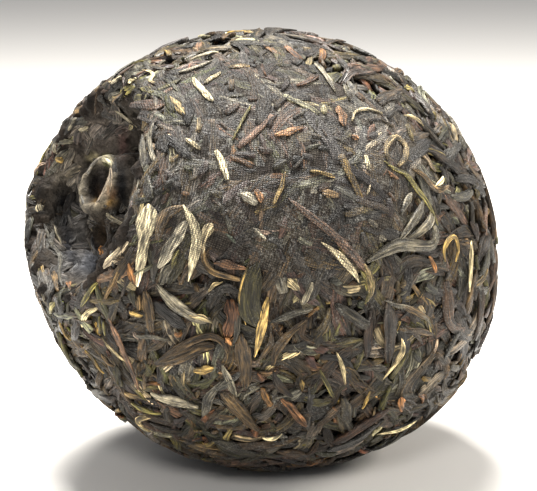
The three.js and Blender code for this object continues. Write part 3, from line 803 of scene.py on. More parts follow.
# For each strip: pixels across, paleness (0 the kind's dark colour, 1 its light one), and the
# pixels along its middle.
SEEN_STRIPS = {
    "ivory": (
        (6, 1.0, ((192, 78), (202, 89), (213, 100))),
        (6, 1.2, ((216, 150), (222, 165), (228, 180))),
        (4, 0.5, ((185, 138), (192, 143), (200, 149))),
        (4, 0.65, ((205, 83), (212, 77), (220, 72))),
        (4, 0.05, ((198, 118), (199, 124), (200, 130))),
        (11, 1.05, ((184, 205), (192, 222), (197, 240), (193, 262), (188, 282))),
        (18, 0.95, ((149, 204), (146, 228), (141, 252), (136, 286))),
        (3, 0.5, ((352, 120), (356, 112), (366, 108), (382, 113))),
        (4, 0.4, ((405, 113), (415, 118), (425, 125))),
        (4, 1.2, ((366, 155), (368, 162), (370, 170))),
        (5, 1.2, ((437, 187), (441, 181), (445, 176))),
        (8, 0.6, ((322, 242), (335, 251), (345, 262), (354, 272), (360, 282))),
        (9, 0.8, ((472, 240), (472, 265), (470, 292))),
        (10, 0.4, ((287, 278), (294, 284), (300, 290))),
        (4, 0.25, ((207, 292), (214, 285), (222, 282))),
        (7, 0.95, ((79, 330), (83, 318), (88, 312), (100, 307))),
        (3, 0.5, ((100, 340), (115, 352), (130, 365))),
        (4, 0.1, ((182, 387), (183, 380), (184, 373))),
        (5, 1.15, ((262, 440), (272, 440), (282, 436))),
        (5, 0.5, ((337, 352), (343, 368), (345, 385))),
        (6, 0.45, ((402, 338), (402, 350), (397, 362), (383, 380))),
        (4.5, 1.05, ((378, 436), (398, 430), (418, 422))),
        (6, 0.3, ((189, 315), (201, 318), (213, 323))),
        (6, 0.0, (
            (388, 160), (387, 148), (392, 139), (400, 137), (406, 146), (406, 158), (399, 166),
        )),
        (8, 0.05, ((364, 262), (369, 274), (371, 288), (368, 302))),
        (4, 1.2, ((129, 131), (131, 128), (134, 125))),
        (6, 1.2, ((127, 83), (131, 80), (136, 78))),
        (4, 0.7, ((141, 69), (152, 73), (151, 80), (159, 83))),
        (9, 0.3, ((211, 223), (207, 232), (204, 242), (203, 252))),
    ),
    "slate": (
        (5, 1.0, ((178, 72), (195, 67), (212, 60))),
        (5, 1.2, ((190, 57), (204, 54), (218, 50))),
        (5, 0.9, ((315, 62), (327, 75), (335, 90))),
        (6, 0.9, ((302, 305), (307, 294), (312, 282))),
        (13, 0.85, ((150, 396), (174, 402), (198, 410))),
        (8, 0.9, ((40, 203), (40, 207), (41, 212))),
        (12, 0.3, (
            (368, 262), (384, 252), (400, 245), (418, 246), (432, 245), (437, 236), (436, 225),
        )),
        (8, 0.4, ((402, 238), (412, 225), (420, 212), (424, 198))),
        (8, 0.8, ((410, 240), (420, 232), (430, 222), (434, 210))),
        (7, 0.7, ((414, 192), (408, 202), (403, 214))),
        (5, 0.25, ((385, 300), (396, 306), (410, 308), (424, 316), (432, 326))),
        (13, 0.7, ((155, 285), (166, 297), (180, 310), (195, 318), (210, 322))),
        (9, 0.4, ((222, 366), (229, 382), (236, 398))),
        (7, 0.0, ((216, 392), (226, 384), (240, 372))),
        (10, 0.15, ((201, 418), (205, 408), (211, 397), (222, 383))),
        (6, 0.1, ((270, 323), (285, 317), (300, 313), (314, 309))),
        (6, 0.15, ((233, 302), (237, 318), (237, 332), (234, 346))),
        (5, 0.2, ((134, 337), (151, 337), (168, 341))),
        (4, 1.2, ((91, 209), (105, 213), (117, 221), (121, 230))),
        (5, 0.1, ((45, 223), (51, 243), (60, 259), (62, 284))),
        (4, 1.0, ((54, 225), (58, 234), (62, 243))),
        (5, 0.7, ((54, 142), (54, 148), (56, 154))),
        (4, 0.7, ((76, 117), (72, 124), (69, 131))),
        (5, 1.15, ((78, 130), (83, 129), (89, 128))),
        (5, 1.2, ((114, 112), (124, 116), (132, 122), (137, 128))),
        (6, 1.2, ((111, 84), (116, 80), (121, 76))),
        (10, 0.45, ((141, 134), (142, 150), (143, 168))),
        (6, 1.0, ((153, 122), (148, 138), (151, 152), (154, 162))),
        (4, 1.2, ((137, 168), (138, 180), (136, 192))),
        (11, 1.2, ((187, 222), (178, 235), (168, 250), (158, 268))),
        (9, 0.15, ((172, 264), (165, 273), (160, 285))),
        (9, 1.2, ((240, 194), (248, 198), (256, 204))),
        (5, 0.8, ((252, 228), (258, 233), (266, 240))),
    ),
    "moss": (
        (9, 0.7, ((362, 270), (369, 280), (370, 290), (366, 305))),
        (6, 1.2, (
            (385, 160), (396, 168), (407, 175), (417, 187), (425, 200), (433, 213), (440, 225),
        )),
        (4, 0.65, ((320, 370), (328, 385), (335, 400))),
        (5, 1.1, ((178, 250), (175, 259), (172, 268))),
        (3, 1.2, ((232, 140), (242, 122), (252, 105))),
        (22, 0.1, ((258, 262), (252, 280), (250, 300), (254, 316), (262, 330))),
        (8, 1.2, ((130, 406), (145, 410), (160, 415))),
        (8, 1.2, ((118, 98), (126, 92), (134, 86))),
        (8, 1.2, ((134, 100), (141, 98), (147, 95))),
        (6, 1.0, ((140, 88), (148, 90), (153, 92))),
        (6, 0.45, ((155, 90), (168, 85), (181, 78))),
        (6, 1.0, ((97, 281), (88, 294), (78, 309))),
        (4, 0.55, ((98, 318), (99, 326), (98, 334))),
        (4, 1.0, ((103, 321), (104, 329), (105, 337))),
        (8, 0.05, ((115, 367), (118, 377), (120, 388))),
        (8, 0.05, ((131, 289), (132, 298), (134, 306))),
    ),
    "bark": (
        (5, 1.2, ((100, 307), (112, 285), (122, 262))),
        (6, 0.6, ((215, 418), (225, 418), (235, 420))),
        (6, 0.8, ((100, 355), (106, 361), (112, 368))),
        (6, 0.9, ((412, 167), (424, 176), (435, 188), (444, 189), (450, 185))),
        (14, 0.75, ((222, 394), (233, 405), (245, 417), (258, 432))),
        (17, 0.0, ((388, 300), (390, 320), (391, 342), (390, 365))),
        (6, 0.7, ((400, 305), (415, 311), (430, 320))),
        (6, 0.4, ((400, 330), (418, 331), (435, 335))),
        (5, 0.1, ((405, 325), (415, 334), (425, 345))),
        (8, 0.25, ((154, 364), (174, 350), (195, 340), (210, 337), (222, 343), (228, 353))),
        (13, 0.4, ((156, 366), (178, 358), (198, 350), (213, 346))),
        (14, 0.4, ((241, 334), (243, 352), (246, 370), (244, 390))),
        (5, 0.35, ((256, 364), (265, 355), (271, 342), (270, 330))),
        (8, 0.35, ((273, 369), (277, 351), (289, 334), (308, 322))),
        (8, 0.05, ((273, 371), (278, 385), (293, 398))),
        (5, 1.2, ((137, 311), (138, 303), (139, 296))),
        (10, 0.6, ((143, 291), (149, 312), (152, 333))),
        (6, 1.2, ((201, 245), (204, 262), (213, 272), (228, 277), (245, 281))),
        (5, 0.7, ((54, 270), (56, 280), (57, 291))),
        (11, 0.9, ((182, 207), (168, 213), (160, 226), (156, 240))),
    ),
    "straw": (
        (5, 0.6, ((57, 320), (62, 330), (68, 342))),
        (9, 0.8, ((193, 373), (203, 371), (213, 368))),
        (4, 0.6, ((285, 172), (280, 188), (272, 205))),
        (4, 0.9, ((310, 170), (322, 173), (335, 177))),
        (5, 0.65, ((447, 262), (445, 250), (449, 239), (456, 237), (460, 248), (458, 262))),
        (6, 0.0, ((424, 379), (427, 380), (431, 381))),
        (4, 0.5, ((363, 410), (367, 402), (370, 393))),
        (9, 1.15, ((268, 298), (265, 314), (262, 330), (254, 357))),
        (6, 1.2, ((128, 314), (134, 315), (140, 317))),
        (4, 0.3, ((301, 380), (302, 386), (303, 392))),
        (2.5, 0.7, ((248, 262), (241, 285), (240, 305), (246, 325))),
        (4, 0.1, ((42, 260), (43, 268), (45, 277))),
        (6, 0.95, ((55, 158), (59, 160), (63, 161))),
        (13, 0.25, ((147, 112), (144, 122), (140, 131))),
        (5, 0.75, ((171, 161), (174, 158), (178, 155))),
        (5, 0.1, ((84, 350), (93, 361), (103, 375))),
    ),
    "russet": (
        (7, 1.2, ((275, 135), (288, 131), (302, 127))),
        (9, 1.2, ((338, 105), (342, 115), (345, 125))),
        (5, 0.1, ((298, 85), (308, 80), (318, 75))),
        (5, 0.8, ((352, 136), (355, 137), (359, 139))),
        (4, 0.8, ((389, 171), (394, 175), (399, 179))),
        (7, 1.1, ((255, 189), (259, 195), (262, 202))),
        (7, 0.8, ((128, 262), (132, 274), (135, 285))),
        (8, 0.4, ((213, 263), (228, 265), (245, 268))),
        (13, 0.0, ((229, 300), (232, 318), (226, 340))),
        (9, 0.3, ((281, 400), (293, 412), (307, 428))),
        (8, 0.5, ((402, 398), (402, 405), (403, 412))),
        (4, 0.85, ((431, 256), (434, 264), (437, 272))),
        (5, 0.65, ((173, 334), (178, 335), (182, 335))),
        (5, 1.05, ((226, 338), (229, 342), (231, 346))),
        (7, 0.0, ((257, 377), (262, 378), (267, 379))),
        (4, 1.2, ((100, 243), (100, 250), (100, 257))),
        (5, 0.25, ((68, 279), (69, 283), (70, 288))),
    ),
    "plum": (
        (8.5, 0.8, (
            (288, 198), (310, 215), (332, 234), (350, 250), (364, 268), (375, 290),
        )),
        (7, 1.0, ((108, 318), (114, 332), (120, 345), (130, 368), (138, 390))),
        (5, 1.2, ((141, 112), (152, 108), (164, 104))),
        (6, 0.9, ((159, 95), (168, 90), (177, 85))),
    ),
    "charcoal": (
        (8, 0.1, ((208, 296), (218, 290), (230, 288), (240, 293))),
        (13, 0.0, ((153, 302), (168, 316), (185, 328))),
        (12, 0.0, ((186, 96), (187, 110), (188, 124))),
        (13, 0.2, ((163, 135), (163, 144), (165, 152))),
        (9, 0.5, ((146, 172), (147, 186), (148, 200))),
    ),
}
SEEN_ROWS = [(kind, *row) for kind, rows in SEEN_STRIPS.items() for row in rows]
# Strips that are widest near their first pixel, by that pixel, with their belly.
SEEN_BELLIES = {(149, 204): 0.55, (184, 205): 0.9, (211, 223): 0.6}
SEEN_THICKNESS, SEEN_PRESSED_THICKNESS = (0.3, 0.4, 0.75), 0.5
SEEN_GROWTH = (0.5, 0.5, 1.2)
SEEN_CAPS, SEEN_FLATNESS = (0.55, 0.12), 0.4
SQUARE_END, SQUARE_BLUNT = 0.5, 4.5
# How low others lie under them, where loose and where pressed, and the room they leave.
UNDER_SEEN, SEEN_ROOM = (-1.1, -0.35), 0.3


def smooth_path(values, steps):
    """A smooth run of values through given ones, evenly stepped, by cubic joins."""
    values = np.array(values, float)
    padded = np.concatenate([2 * values[:1] - values[1:2], values, 2 * values[-1:] - values[-2:-1]])
    spot = np.linspace(0, len(values) - 1, steps)
    first = np.minimum(spot.astype(int), len(values) - 2)
    part = (spot - first)[:, None]
    before, start, end, after = (padded[first + shift] for shift in range(4))
    return 0.5 * (
        2 * start + (end - before) * part + (2 * before - 5 * start + 4 * end - after) * part**2
        + (3 * start - before - 3 * end + after) * part**3
    )


def seen_paths():
    """The places on the skin along each strip that stands out, as travel and turn."""
    seen = SeenSkin()
    paths = []
    for *_, pixels in SEEN_ROWS:
        places = np.array([seen.place(x, y) for x, y in pixels])
        places[:, 1] = np.unwrap(places[:, 1])
        paths.append(smooth_path(places, SEEN_STEPS))
    return np.array(paths)


SEEN_PATHS = seen_paths()
SEEN_CENTRES = SKIN.points(SEEN_PATHS[..., 0], SEEN_PATHS[..., 1])
SEEN_WIDTHS = np.array([row[1] for row in SEEN_ROWS]) * PIXEL_AT_AIM


def seen_strips():
    """The strips that stand out, each kind's together."""
    draws = np.random.default_rng(61)
    kinds = np.array([row[0] for row in SEEN_ROWS])
    paleness = np.array([row[2] for row in SEEN_ROWS])
    bellies = np.array([SEEN_BELLIES.get(row[3][0], 1.0) for row in SEEN_ROWS])
    pressed_all = cloth_share(unit(SEEN_CENTRES[:, SEEN_STEPS // 2] - MIDDLE))
    made = {}
    for kind in SEEN_STRIPS:
        chosen = kinds == kind
        pressed, path = pressed_all[chosen], SEEN_PATHS[chosen]
        centres, width = SEEN_CENTRES[chosen], SEEN_WIDTHS[chosen]
        make = dict(
            seed=int(draws.integers(SEEDS)), places=WIDE_TOP, length=lengths_of(centres),
            width=width,
            thickness=lerp(bounded(width, *SEEN_THICKNESS), SEEN_PRESSED_THICKNESS, pressed),
            tilt=np.zeros(len(width)), belly=bellies[chosen], cap=lerp(*SEEN_CAPS, pressed),
            flat=SEEN_FLATNESS * pressed,
            tint=richer(kind_tint(kind, paleness[chosen]), pressed) * SEEN_TONE,
            **laid(
                IVORY_LAY if kind == "ivory" else SEEN_LAY, draws, pressed,
                bounded(width, *SEEN_GROWTH),
            ),
        )
        squared = pressed * ((kind == "ivory") & (width < NARROW_WIDTH))
        make["end"] = lerp(make["end"], SQUARE_END, squared)
        make["blunt"] = lerp(make["blunt"], SQUARE_BLUNT, squared)
        made[kind] = strip_mesh(centres, SKIN.normals(path[..., 0], path[..., 1]), make)
    return made


def seen_tree():
    """A tree of the points along the strips that stand out, to find the nearest one."""
    tree = kdtree.KDTree(len(SEEN_ROWS) * SEEN_STEPS)
    for number, centre in enumerate(SEEN_CENTRES.reshape(-1, 3)):
        tree.insert(centre, number)
    tree.balance()
    return tree


SEEN_TREE = seen_tree()


def under_seen(centres, width, level, pressed):
    """Levels of strips, lowered where they would cross over one that stands out."""
    lowered = level.copy()
    for number, line in enumerate(centres):
        for point in line:
            _, found, away = SEEN_TREE.find(point)
            room = (SEEN_WIDTHS[found // SEEN_STEPS] + width[number]) / 2
            if away < room + SEEN_ROOM:
                lowered[number] = min(lowered[number], lerp(*UNDER_SEEN, pressed[number]))
                break
    return lowered


# ---- crumbs ----
CRUMBS, CRUMB_STEPS, CRUMB_SHAKE, CRUMB_BEND = 2600, 4, 0.03, 3
CRUMB_LENGTHS, CRUMB_WIDTHS, CRUMB_THICKNESSES = (1.4, 4.2), (0.6, 1.9), (0.4, 0.9)
LOOSE_CRUMB_LEVELS, PRESSED_CRUMB_LEVELS = (-0.3, -1.9), (-0.02, -0.12)
CRUMB_ODDS = (0.26, 0.28, 0.14, 0.12, 0.1, 0.035, 0.035, 0.03)  # in the order of the kinds


def crumb_strips():
    """Broken bits of leaf that fill the gaps between the strips."""
    draws = np.random.default_rng(53)
    places = outside_directions(CRUMBS, draws, CRUMB_SHAKE)
    count = len(places)
    pressed = cloth_share(places)
    length = draws.uniform(*CRUMB_LENGTHS, count)
    headings = headings_at(places, draws.uniform(0, math.pi, count))
    bend = draws.normal(size=count) * CRUMB_BEND
    line = walk(places, headings, length, bend, np.zeros(count), CRUMB_STEPS)
    centres = outline_points(line)
    width = draws.uniform(*CRUMB_WIDTHS, count)
    loose_level = lerp(*LOOSE_CRUMB_LEVELS, draws.uniform(0, 1, count))
    pressed_level = lerp(*PRESSED_CRUMB_LEVELS, draws.uniform(0, 1, count))
    level = lerp(loose_level, pressed_level, pressed)
    tints = np.zeros((count, 3))
    picks = draws.choice(list(KINDS), size=count, p=CRUMB_ODDS)
    for kind in KINDS:
        chosen = picks == kind
        tints[chosen] = tints_of(kind, pressed[chosen], draws)
    make = dict(
        seed=int(draws.integers(SEEDS)), places=NARROW_TOP, length=length, width=width,
        thickness=draws.uniform(*CRUMB_THICKNESSES, count),
        level=under_seen(centres, width, level, pressed),
        belly=np.ones(count), wave=np.zeros(count), flat=pressed, tint=tints,
        **laid(CRUMB_LAY, draws, pressed),
    )
    return strip_mesh(centres, outline_normals(line), make)


# ---- the hollow's strips ----
HOLLOW_STRIPS, HOLLOW_STEPS, HOLLOW_MARGIN = 950, 7, 4
HOLLOW_LENGTHS, HOLLOW_SHORTENING = (3.5, 9.5), 0.7
HOLLOW_WIDTHS, HOLLOW_WIDENING = (0.8, 2.3), 1.25
HOLLOW_HEADING_SPREAD, HOLLOW_CROSSING_ODDS = 0.7, (0.65, 0.35)
LIP_LEVELS, DEEP_LEVELS = (-0.7, 0.1), (-0.5, -0.1)
DEEP_FROM, DEEP_TO = 5, 9
# Deep strips take most of the hollow's tones and painted shade in place of their own tint.
DEEP_DIP, DEEP_TWIST, DEEP_FLATNESS, DEEP_TONE_AND_SHADE = 0.4, 0.06 / 0.35, 0.3, 0.85
HOLLOW_THICKNESS, HOLLOW_TINT_SPREAD = (0.35, 0.35, 0.7), (0.45, 1.9)
HOLLOW_ODDS = {
    "charcoal": 0.3, "bark": 0.24, "plum": 0.12, "slate": 0.24, "moss": 0.06, "ivory": 0.04,
}
KNOT_CLEAR = 3.0
LEAF_IN_HOLLOW = (56, 51, 45)
# Colour spots in the hollow: leaf tones, and dark painted shade down the far wall, in the knot's
# hole and in the moat.
HOLLOW_TONES_AND_SHADE = (  # pixel, spread in pixels across and up, colour
    ((98, 135), (26, 18), (80, 73, 67)), ((66, 172), (12, 12), (104, 97, 86)),
    ((64, 212), (9, 24), (18, 18, 20)), ((72, 245), (9, 16), (36, 37, 41)),
    ((90, 262), (18, 12), (84, 86, 91)), ((80, 228), (6, 30), (84, 81, 78)),
    ((104, 236), (10, 14), (52, 42, 31)), ((122, 190), (6, 28), (9, 9, 10)),
    ((93, 184), (9, 19), (17, 14, 13)), ((107, 193), (5, 7), (150, 106, 62)),
    ((104, 202), (8, 4), (140, 112, 66)), ((103, 182), (3, 14), (62, 58, 56)),
    ((123, 143), (4, 12), (84, 66, 61)), ((93, 157), (5, 4), (140, 131, 102)),
    ((107, 160), (3, 4), (128, 132, 62)),
)
SHADE_STRENGTH = 1.3
KNOT_SHADE, KNOT_RIM, KNOT_RIM_FADE = (128, 120, 104), (4.7, 6.1), (0.7, 0.4)
KNOT_RIM_SHARE, KNOT_RIM_MOTTLE = 0.55, ((5.0, 61, 7, 0.45),)


def knot_crest_travel():
    """How far along the profile the crest of the ring-shaped knot mark is."""
    inner = (SKIN.radius < KNOT_FOOT_RADIUS) & (SKIN.height > 0)
    return SKIN.at[inner][np.argmax(SKIN.height[inner])]


KNOT_CREST = knot_crest_travel()


def depth_in_hollow(travel):
    """From 0 on the lip and outside it to 1 down the hollow's wall and on its floor."""
    return smoothstep(travel, SKIN.lip_start + DEEP_FROM, SKIN.lip_start + DEEP_TO)


def hollow_colours(points, travel):
    """The colour at each place in the hollow: the leaf's tones, pale on the knot's rim, and painted
    shade, dark in the knot's hole, in the narrow gap beside it and down the far wall."""
    x, y, _ = pixels_of(points)
    colours = np.broadcast_to(linear(*LEAF_IN_HOLLOW), points.shape).copy()
    for (middle_x, middle_y), (wide, high), colour in HOLLOW_TONES_AND_SHADE:
        share = np.exp(-(((x - middle_x) / wide) ** 2) - ((y - middle_y) / high) ** 2)
        share = np.minimum(1, SHADE_STRENGTH * share)
        colours = lerp(colours, linear(*colour), share[..., None])
    radius = np.interp(travel, SKIN.at, SKIN.radius)
    rim = smoothstep(radius, KNOT_RIM[0] - KNOT_RIM_FADE[0], KNOT_RIM[0])
    rim *= 1 - smoothstep(radius, KNOT_RIM[1] - KNOT_RIM_FADE[1], KNOT_RIM[1])
    rim *= KNOT_RIM_SHARE + roughness(points, KNOT_RIM_MOTTLE)
    return lerp(colours, linear(*KNOT_SHADE), np.clip(rim, 0, 1)[..., None])


def skin_strips(kind, path, round_path, width, level, deep, draws):
    """Strips laid over the skin along given runs of travel and turn, flush where it is deep."""
    count = len(path)
    centres = SKIN.points(path, round_path)
    middle = centres[:, centres.shape[1] // 2]
    # Deep strips take the hollow's tones and its painted shade, spread lighter and darker at
    # random.
    hollow_tone_and_shade = hollow_colours(middle, path.mean(axis=1))
    hollow_tone_and_shade = hollow_tone_and_shade * draws.uniform(*HOLLOW_TINT_SPREAD, (count, 1))
    own = tints_of(kind, np.zeros(count), draws)
    make = dict(
        seed=int(draws.integers(SEEDS)), places=NARROW_TOP, length=lengths_of(centres),
        width=width, thickness=bounded(width, *HOLLOW_THICKNESS), level=level,
        flat=DEEP_FLATNESS * deep, tint=lerp(own, hollow_tone_and_shade, DEEP_TONE_AND_SHADE * deep[:, None]),
        **laid(HOLLOW_LAY, draws, deep),
    )
    make["dip"] *= lerp(1, DEEP_DIP, deep)
    make["twist"] *= lerp(1, DEEP_TWIST, deep)
    return strip_mesh(centres, SKIN.normals(path, round_path), make)


def hollow_strips():
    """Smaller strips over the lip, and flush ones down the wall and on the floor, clear of the
    knot's ring."""
    draws = np.random.default_rng(47)
    clear = KNOT_CREST - KNOT_CLEAR
    first, last = SKIN.lip_start - HOLLOW_MARGIN, SKIN.length - HOLLOW_MARGIN
    travel = draws.uniform(first, last, HOLLOW_STRIPS * 3)
    radius = np.interp(travel, SKIN.at, SKIN.radius)
    kept = (draws.uniform(0, LIP_OUTER_RADIUS, len(travel)) < radius) & (travel < clear)
    travel = travel[kept][:HOLLOW_STRIPS]
    turn = draws.uniform(0, 2 * math.pi, len(travel))
    picks = draws.choice(list(HOLLOW_ODDS), size=len(travel), p=list(HOLLOW_ODDS.values()))
    share = np.linspace(-0.5, 0.5, HOLLOW_STEPS)[None, :]
    made = {}
    for kind in HOLLOW_ODDS:
        chosen = picks == kind
        count = int(chosen.sum())
        radius = np.interp(travel[chosen], SKIN.at, SKIN.radius)
        deep = depth_in_hollow(travel[chosen])
        length = draws.uniform(*HOLLOW_LENGTHS, count) * lerp(1, HOLLOW_SHORTENING, deep)
        angle = draws.normal(size=count) * HOLLOW_HEADING_SPREAD
        angle += draws.choice(CROSSING_TURNS, count, p=HOLLOW_CROSSING_ODDS)
        path = travel[chosen][:, None] + (np.sin(angle) * length)[:, None] * share
        path = np.minimum(path, clear)
        round_path = turn[chosen][:, None] + (np.cos(angle) * length / radius)[:, None] * share
        width = draws.uniform(*HOLLOW_WIDTHS, count) * lerp(1, HOLLOW_WIDENING, deep)
        level = lerp(draws.uniform(*LIP_LEVELS, count), draws.uniform(*DEEP_LEVELS, count), deep)
        made[kind] = skin_strips(kind, path, round_path, width, level, deep, draws)
    return made


# Flush strips wound round the knot's ring: kind, turn of the middle and span in degrees, how far
# outside the crest along the profile, and width in millimetres.
KNOT_RING = (
    ("slate", 190, 110, 0.2, 1.9), ("slate", 20, 120, 0.3, 1.8), ("moss", 95, 70, 0.5, 1.8),
    ("slate", 280, 100, 0.2, 1.7), ("slate", 150, 90, 1.9, 1.6), ("slate", 60, 80, 2.0, 1.6),
    ("plum", 320, 90, 1.9, 1.7), ("slate", 230, 90, 1.9, 1.6),
)
KNOT_WAVER = 0.3


def knot_strips():
    """The ring-shaped mark of the cloth's knot: strips wound round its crest."""
    draws = np.random.default_rng(71)
    made = []
    share = np.linspace(-0.5, 0.5, SEEN_STEPS)[None, :]
    for kind, middle, span, outside, width in KNOT_RING:
        round_path = math.radians(middle) + math.radians(span) * share
        waver = np.sin(share * draws.uniform(2, 6) + draws.uniform(0, 6))
        path = KNOT_CREST - outside + KNOT_WAVER * waver
        made.append((kind, skin_strips(
            kind, path, round_path, np.array([width]), np.array([0.0]), np.array([1.0]), draws,
        )))
    return made


# ---- the core ----
CORE_ROWS, CORE_COLUMNS, CORE_MARGIN = 200, 340, 0.15
CORE_LOOSE_DEPTH, CORE_PRESSED_DEPTH, CORE_HOLLOW_DEPTH = 2.6, 0.42, 0.35
CORE_LUMPS = ((4.2, 21, 12, 0.35), (1.9, 22, 14, 0.28))  # wavelength, seed, waves, height
HOLLOW_FOLDS = ((6.5, 23, 9, 0.7), (3.0, 24, 12, 0.3))
PRESSED_LUMP_SHARE, KNOT_LUMP_SHARE, KNOT_FOLD_LOSS = 0.12, 0.35, 0.45
LIP_BLEND, KNOT_BLEND = 3, 2


def core_mesh():
    """The crumbly body under the strips, close below the surface where the cloth pressed it."""
    travel = np.linspace(CORE_MARGIN, SKIN.length - CORE_MARGIN, CORE_ROWS)[:, None]
    turn = np.linspace(0, 2 * math.pi, CORE_COLUMNS, endpoint=False)[None, :] + CLOTH_TURN_SEAM
    travel, turn = np.broadcast_arrays(travel, turn)
    points = SKIN.points(travel, turn)
    normals = SKIN.normals(travel, turn)
    outside = 1 - smoothstep(travel, SKIN.lip_start - LIP_BLEND, SKIN.lip_start + LIP_BLEND)
    pressed = cloth_share(unit(points - MIDDLE)) * outside
    clear = KNOT_CREST - KNOT_CLEAR
    at_knot = smoothstep(travel, clear - KNOT_BLEND, clear)
    depth = lerp(CORE_LOOSE_DEPTH, CORE_PRESSED_DEPTH, pressed)
    depth = lerp(CORE_HOLLOW_DEPTH * (1 - at_knot), depth, outside)
    lumps = roughness(points, CORE_LUMPS)
    lumps *= lerp(1, PRESSED_LUMP_SHARE, pressed) * lerp(1, KNOT_LUMP_SHARE, at_knot)
    folds = roughness(points, HOLLOW_FOLDS) * (1 - outside) * (1 - KNOT_FOLD_LOSS * at_knot)
    vertices = on_table((points + normals * (folds - depth + lumps)[..., None]).reshape(-1, 3))
    faces = [part[:, ::-1] for part in tube_faces(1, CORE_ROWS, CORE_COLUMNS)]
    travel = travel.reshape(-1)
    # The core's tint in the hollow: the leaf's tones and painted shade.
    colours = hollow_colours(vertices, travel)
    return vertices, faces, pressed.reshape(-1), colours, depth_in_hollow(travel)


# ---- materials ----
WEAVE_PITCH, WEAVE_WAVER, WEAVE_WAVER_SCALE = 0.48, 9.0, 0.35
THREAD_TOPS = (-0.3, 1.0, 1.0, -1.0)  # from and to, and the heights that they become
THREAD_PATCHES = (0.3, 0.5)
STREAK_LENGTH, WRINKLE_WIDTH, FIBRE_WIDTH = 0.3, 2.2, 6.0  # as scales of the noise
DUST_SPECKS, DUST_PATCHES = (0.52, 0.72), (0.4, 0.65)  # where the masks begin and are full
# Noise: scale, detail and roughness.
THREAD_NOISE, DUST_NOISE, DUST_GRAIN = (0.9, 3.0), (190.0, 3.0, 0.55), (2600.0, 2.0, 0.7)
STREAK_NOISE = {"Wrinkle": (1.0, 3.0, 0.55), "Fibre": (1.0, 3.0, 0.6), "Blotch": (0.45, 3.0, 0.6)}
PATCH_NOISE, CRUMB_NOISE, MOTTLE_NOISE = (240.0, 4.0, 0.6), (1100.0, 4.0, 0.65), (520.0, 4.0, 0.65)
# Two values of a pattern, and how light the colour is at each.
# Wrinkles: painted shade in grooves, painted highlight on crests; fibres add the same over their
# own fine streaks.
STREAK_LIGHTS = {
    "Fibre": (0.36, 0.64, 0.35, 1.65), "Wrinkle": (0.36, 0.64, 0.2, 1.8),
    "Blotch": (0.36, 0.64, 0.5, 1.5),
}
# The cloth's thread dents are painted darker and the cells between them lighter: painted shade in
# the dents.
THREAD_LIGHT, CRUMB_LIGHT, MOTTLE_LIGHT = (
    (-1.0, 1.0, 0.35, 1.65), (0.3, 0.7, 0.6, 1.45), (0.36, 0.64, 0.45, 1.6),
)
DUST_COLOUR, PRESSED_DUST, CORE_DUST, DUST_ROUGHNESS = (205, 203, 194), 0.12, 0.4, 0.2
# The loose core is its own dark crumb, darkened further as painted shade in the deep gaps between
# loose strips.
LOOSE_CORE, LOOSE_CORE_PATCHES = ((20, 16, 13), (38, 31, 25)), (0.4, 0.6)
PRESSED_CORE, PRESSED_CORE_PATCHES = ((40, 35, 31), (70, 65, 58)), (0.42, 0.6)
BUMP_STRENGTH, THREAD_DEPTH, CRUMB_DEPTH, FIBRE_DEPTH_SHARE = 0.9, 0.07, 0.35, 0.35
LEAF_SPECULAR, CORE_SPECULAR, SHEEN_ROUGHNESS = 0.35, 0.15, 0.45
ROUGHNESS_SPREAD, CORE_ROUGHNESS = (0.1, 0.12), (0.3, 0.7, 0.62, 0.85)
MESH_LAYERS = {  # the node that reads each layer of a mesh, the field that names it, its output
    "Strip": ("ShaderNodeUVMap", "uv_map", "UV"),
    "Weave": ("ShaderNodeUVMap", "uv_map", "UV"),
    "Tint": ("ShaderNodeVertexColor", "layer_name", "Color"),
    "Pressed": ("ShaderNodeAttribute", "attribute_name", "Fac"),
    "Bared": ("ShaderNodeAttribute", "attribute_name", "Fac"),
}


def give(tree, value, socket):
    """Links an output to a socket, or sets the socket's own value."""
    if isinstance(value, bpy.types.NodeSocket):
        tree.links.new(value, socket)
    else:
        socket.default_value = value


def node_group(name, inputs, outputs):
    """A new node group that takes a place and some numbers and gives numbers, with its ends."""
    group = bpy.data.node_groups.new(name, "ShaderNodeTree")
    group.interface.new_socket("Place", in_out="INPUT", socket_type="NodeSocketVector")
    for socket, value in inputs.items():
        made = group.interface.new_socket(socket, in_out="INPUT", socket_type="NodeSocketFloat")
        made.default_value = value
    for socket in outputs:
        group.interface.new_socket(socket, in_out="OUTPUT", socket_type="NodeSocketFloat")
    given, made = group.nodes.new("NodeGroupInput"), group.nodes.new("NodeGroupOutput")
    return group, given.outputs, made.inputs


def placed_group(tree, group, **values):
    node = tree.nodes.new("ShaderNodeGroup")
    node.node_tree = group
    for name, value in values.items():
        give(tree, value, node.inputs[name])
    return node.outputs


def maths(tree, operation, *values, clamp=False):
    node = tree.nodes.new("ShaderNodeMath")
    node.operation = operation
    node.use_clamp = clamp
    for socket, value in zip(node.inputs, values):
        give(tree, value, socket)
    return node.outputs[0]


def mixed(tree, share, first, second, blend="MIX"):
    node = tree.nodes.new("ShaderNodeMix")
    node.data_type = "RGBA"
    node.blend_type = blend
    for place, value in ((0, share), (6, first), (7, second)):
        give(tree, value, node.inputs[place])
    return node.outputs[2]


def darkened(tree, colour, *shares):
    """A colour times each of some numbers."""
    lightness = shares[0]
    for share in shares[1:]:
        lightness = maths(tree, "MULTIPLY", lightness, share)
    grey = tree.nodes.new("ShaderNodeCombineColor")
    for socket in grey.inputs:
        tree.links.new(lightness, socket)
    return mixed(tree, 1.0, colour, grey.outputs[0], "MULTIPLY")


def screen(colour):
    """A colour given as it looks on a screen, for a shader."""
    return (*linear(*colour), 1.0)


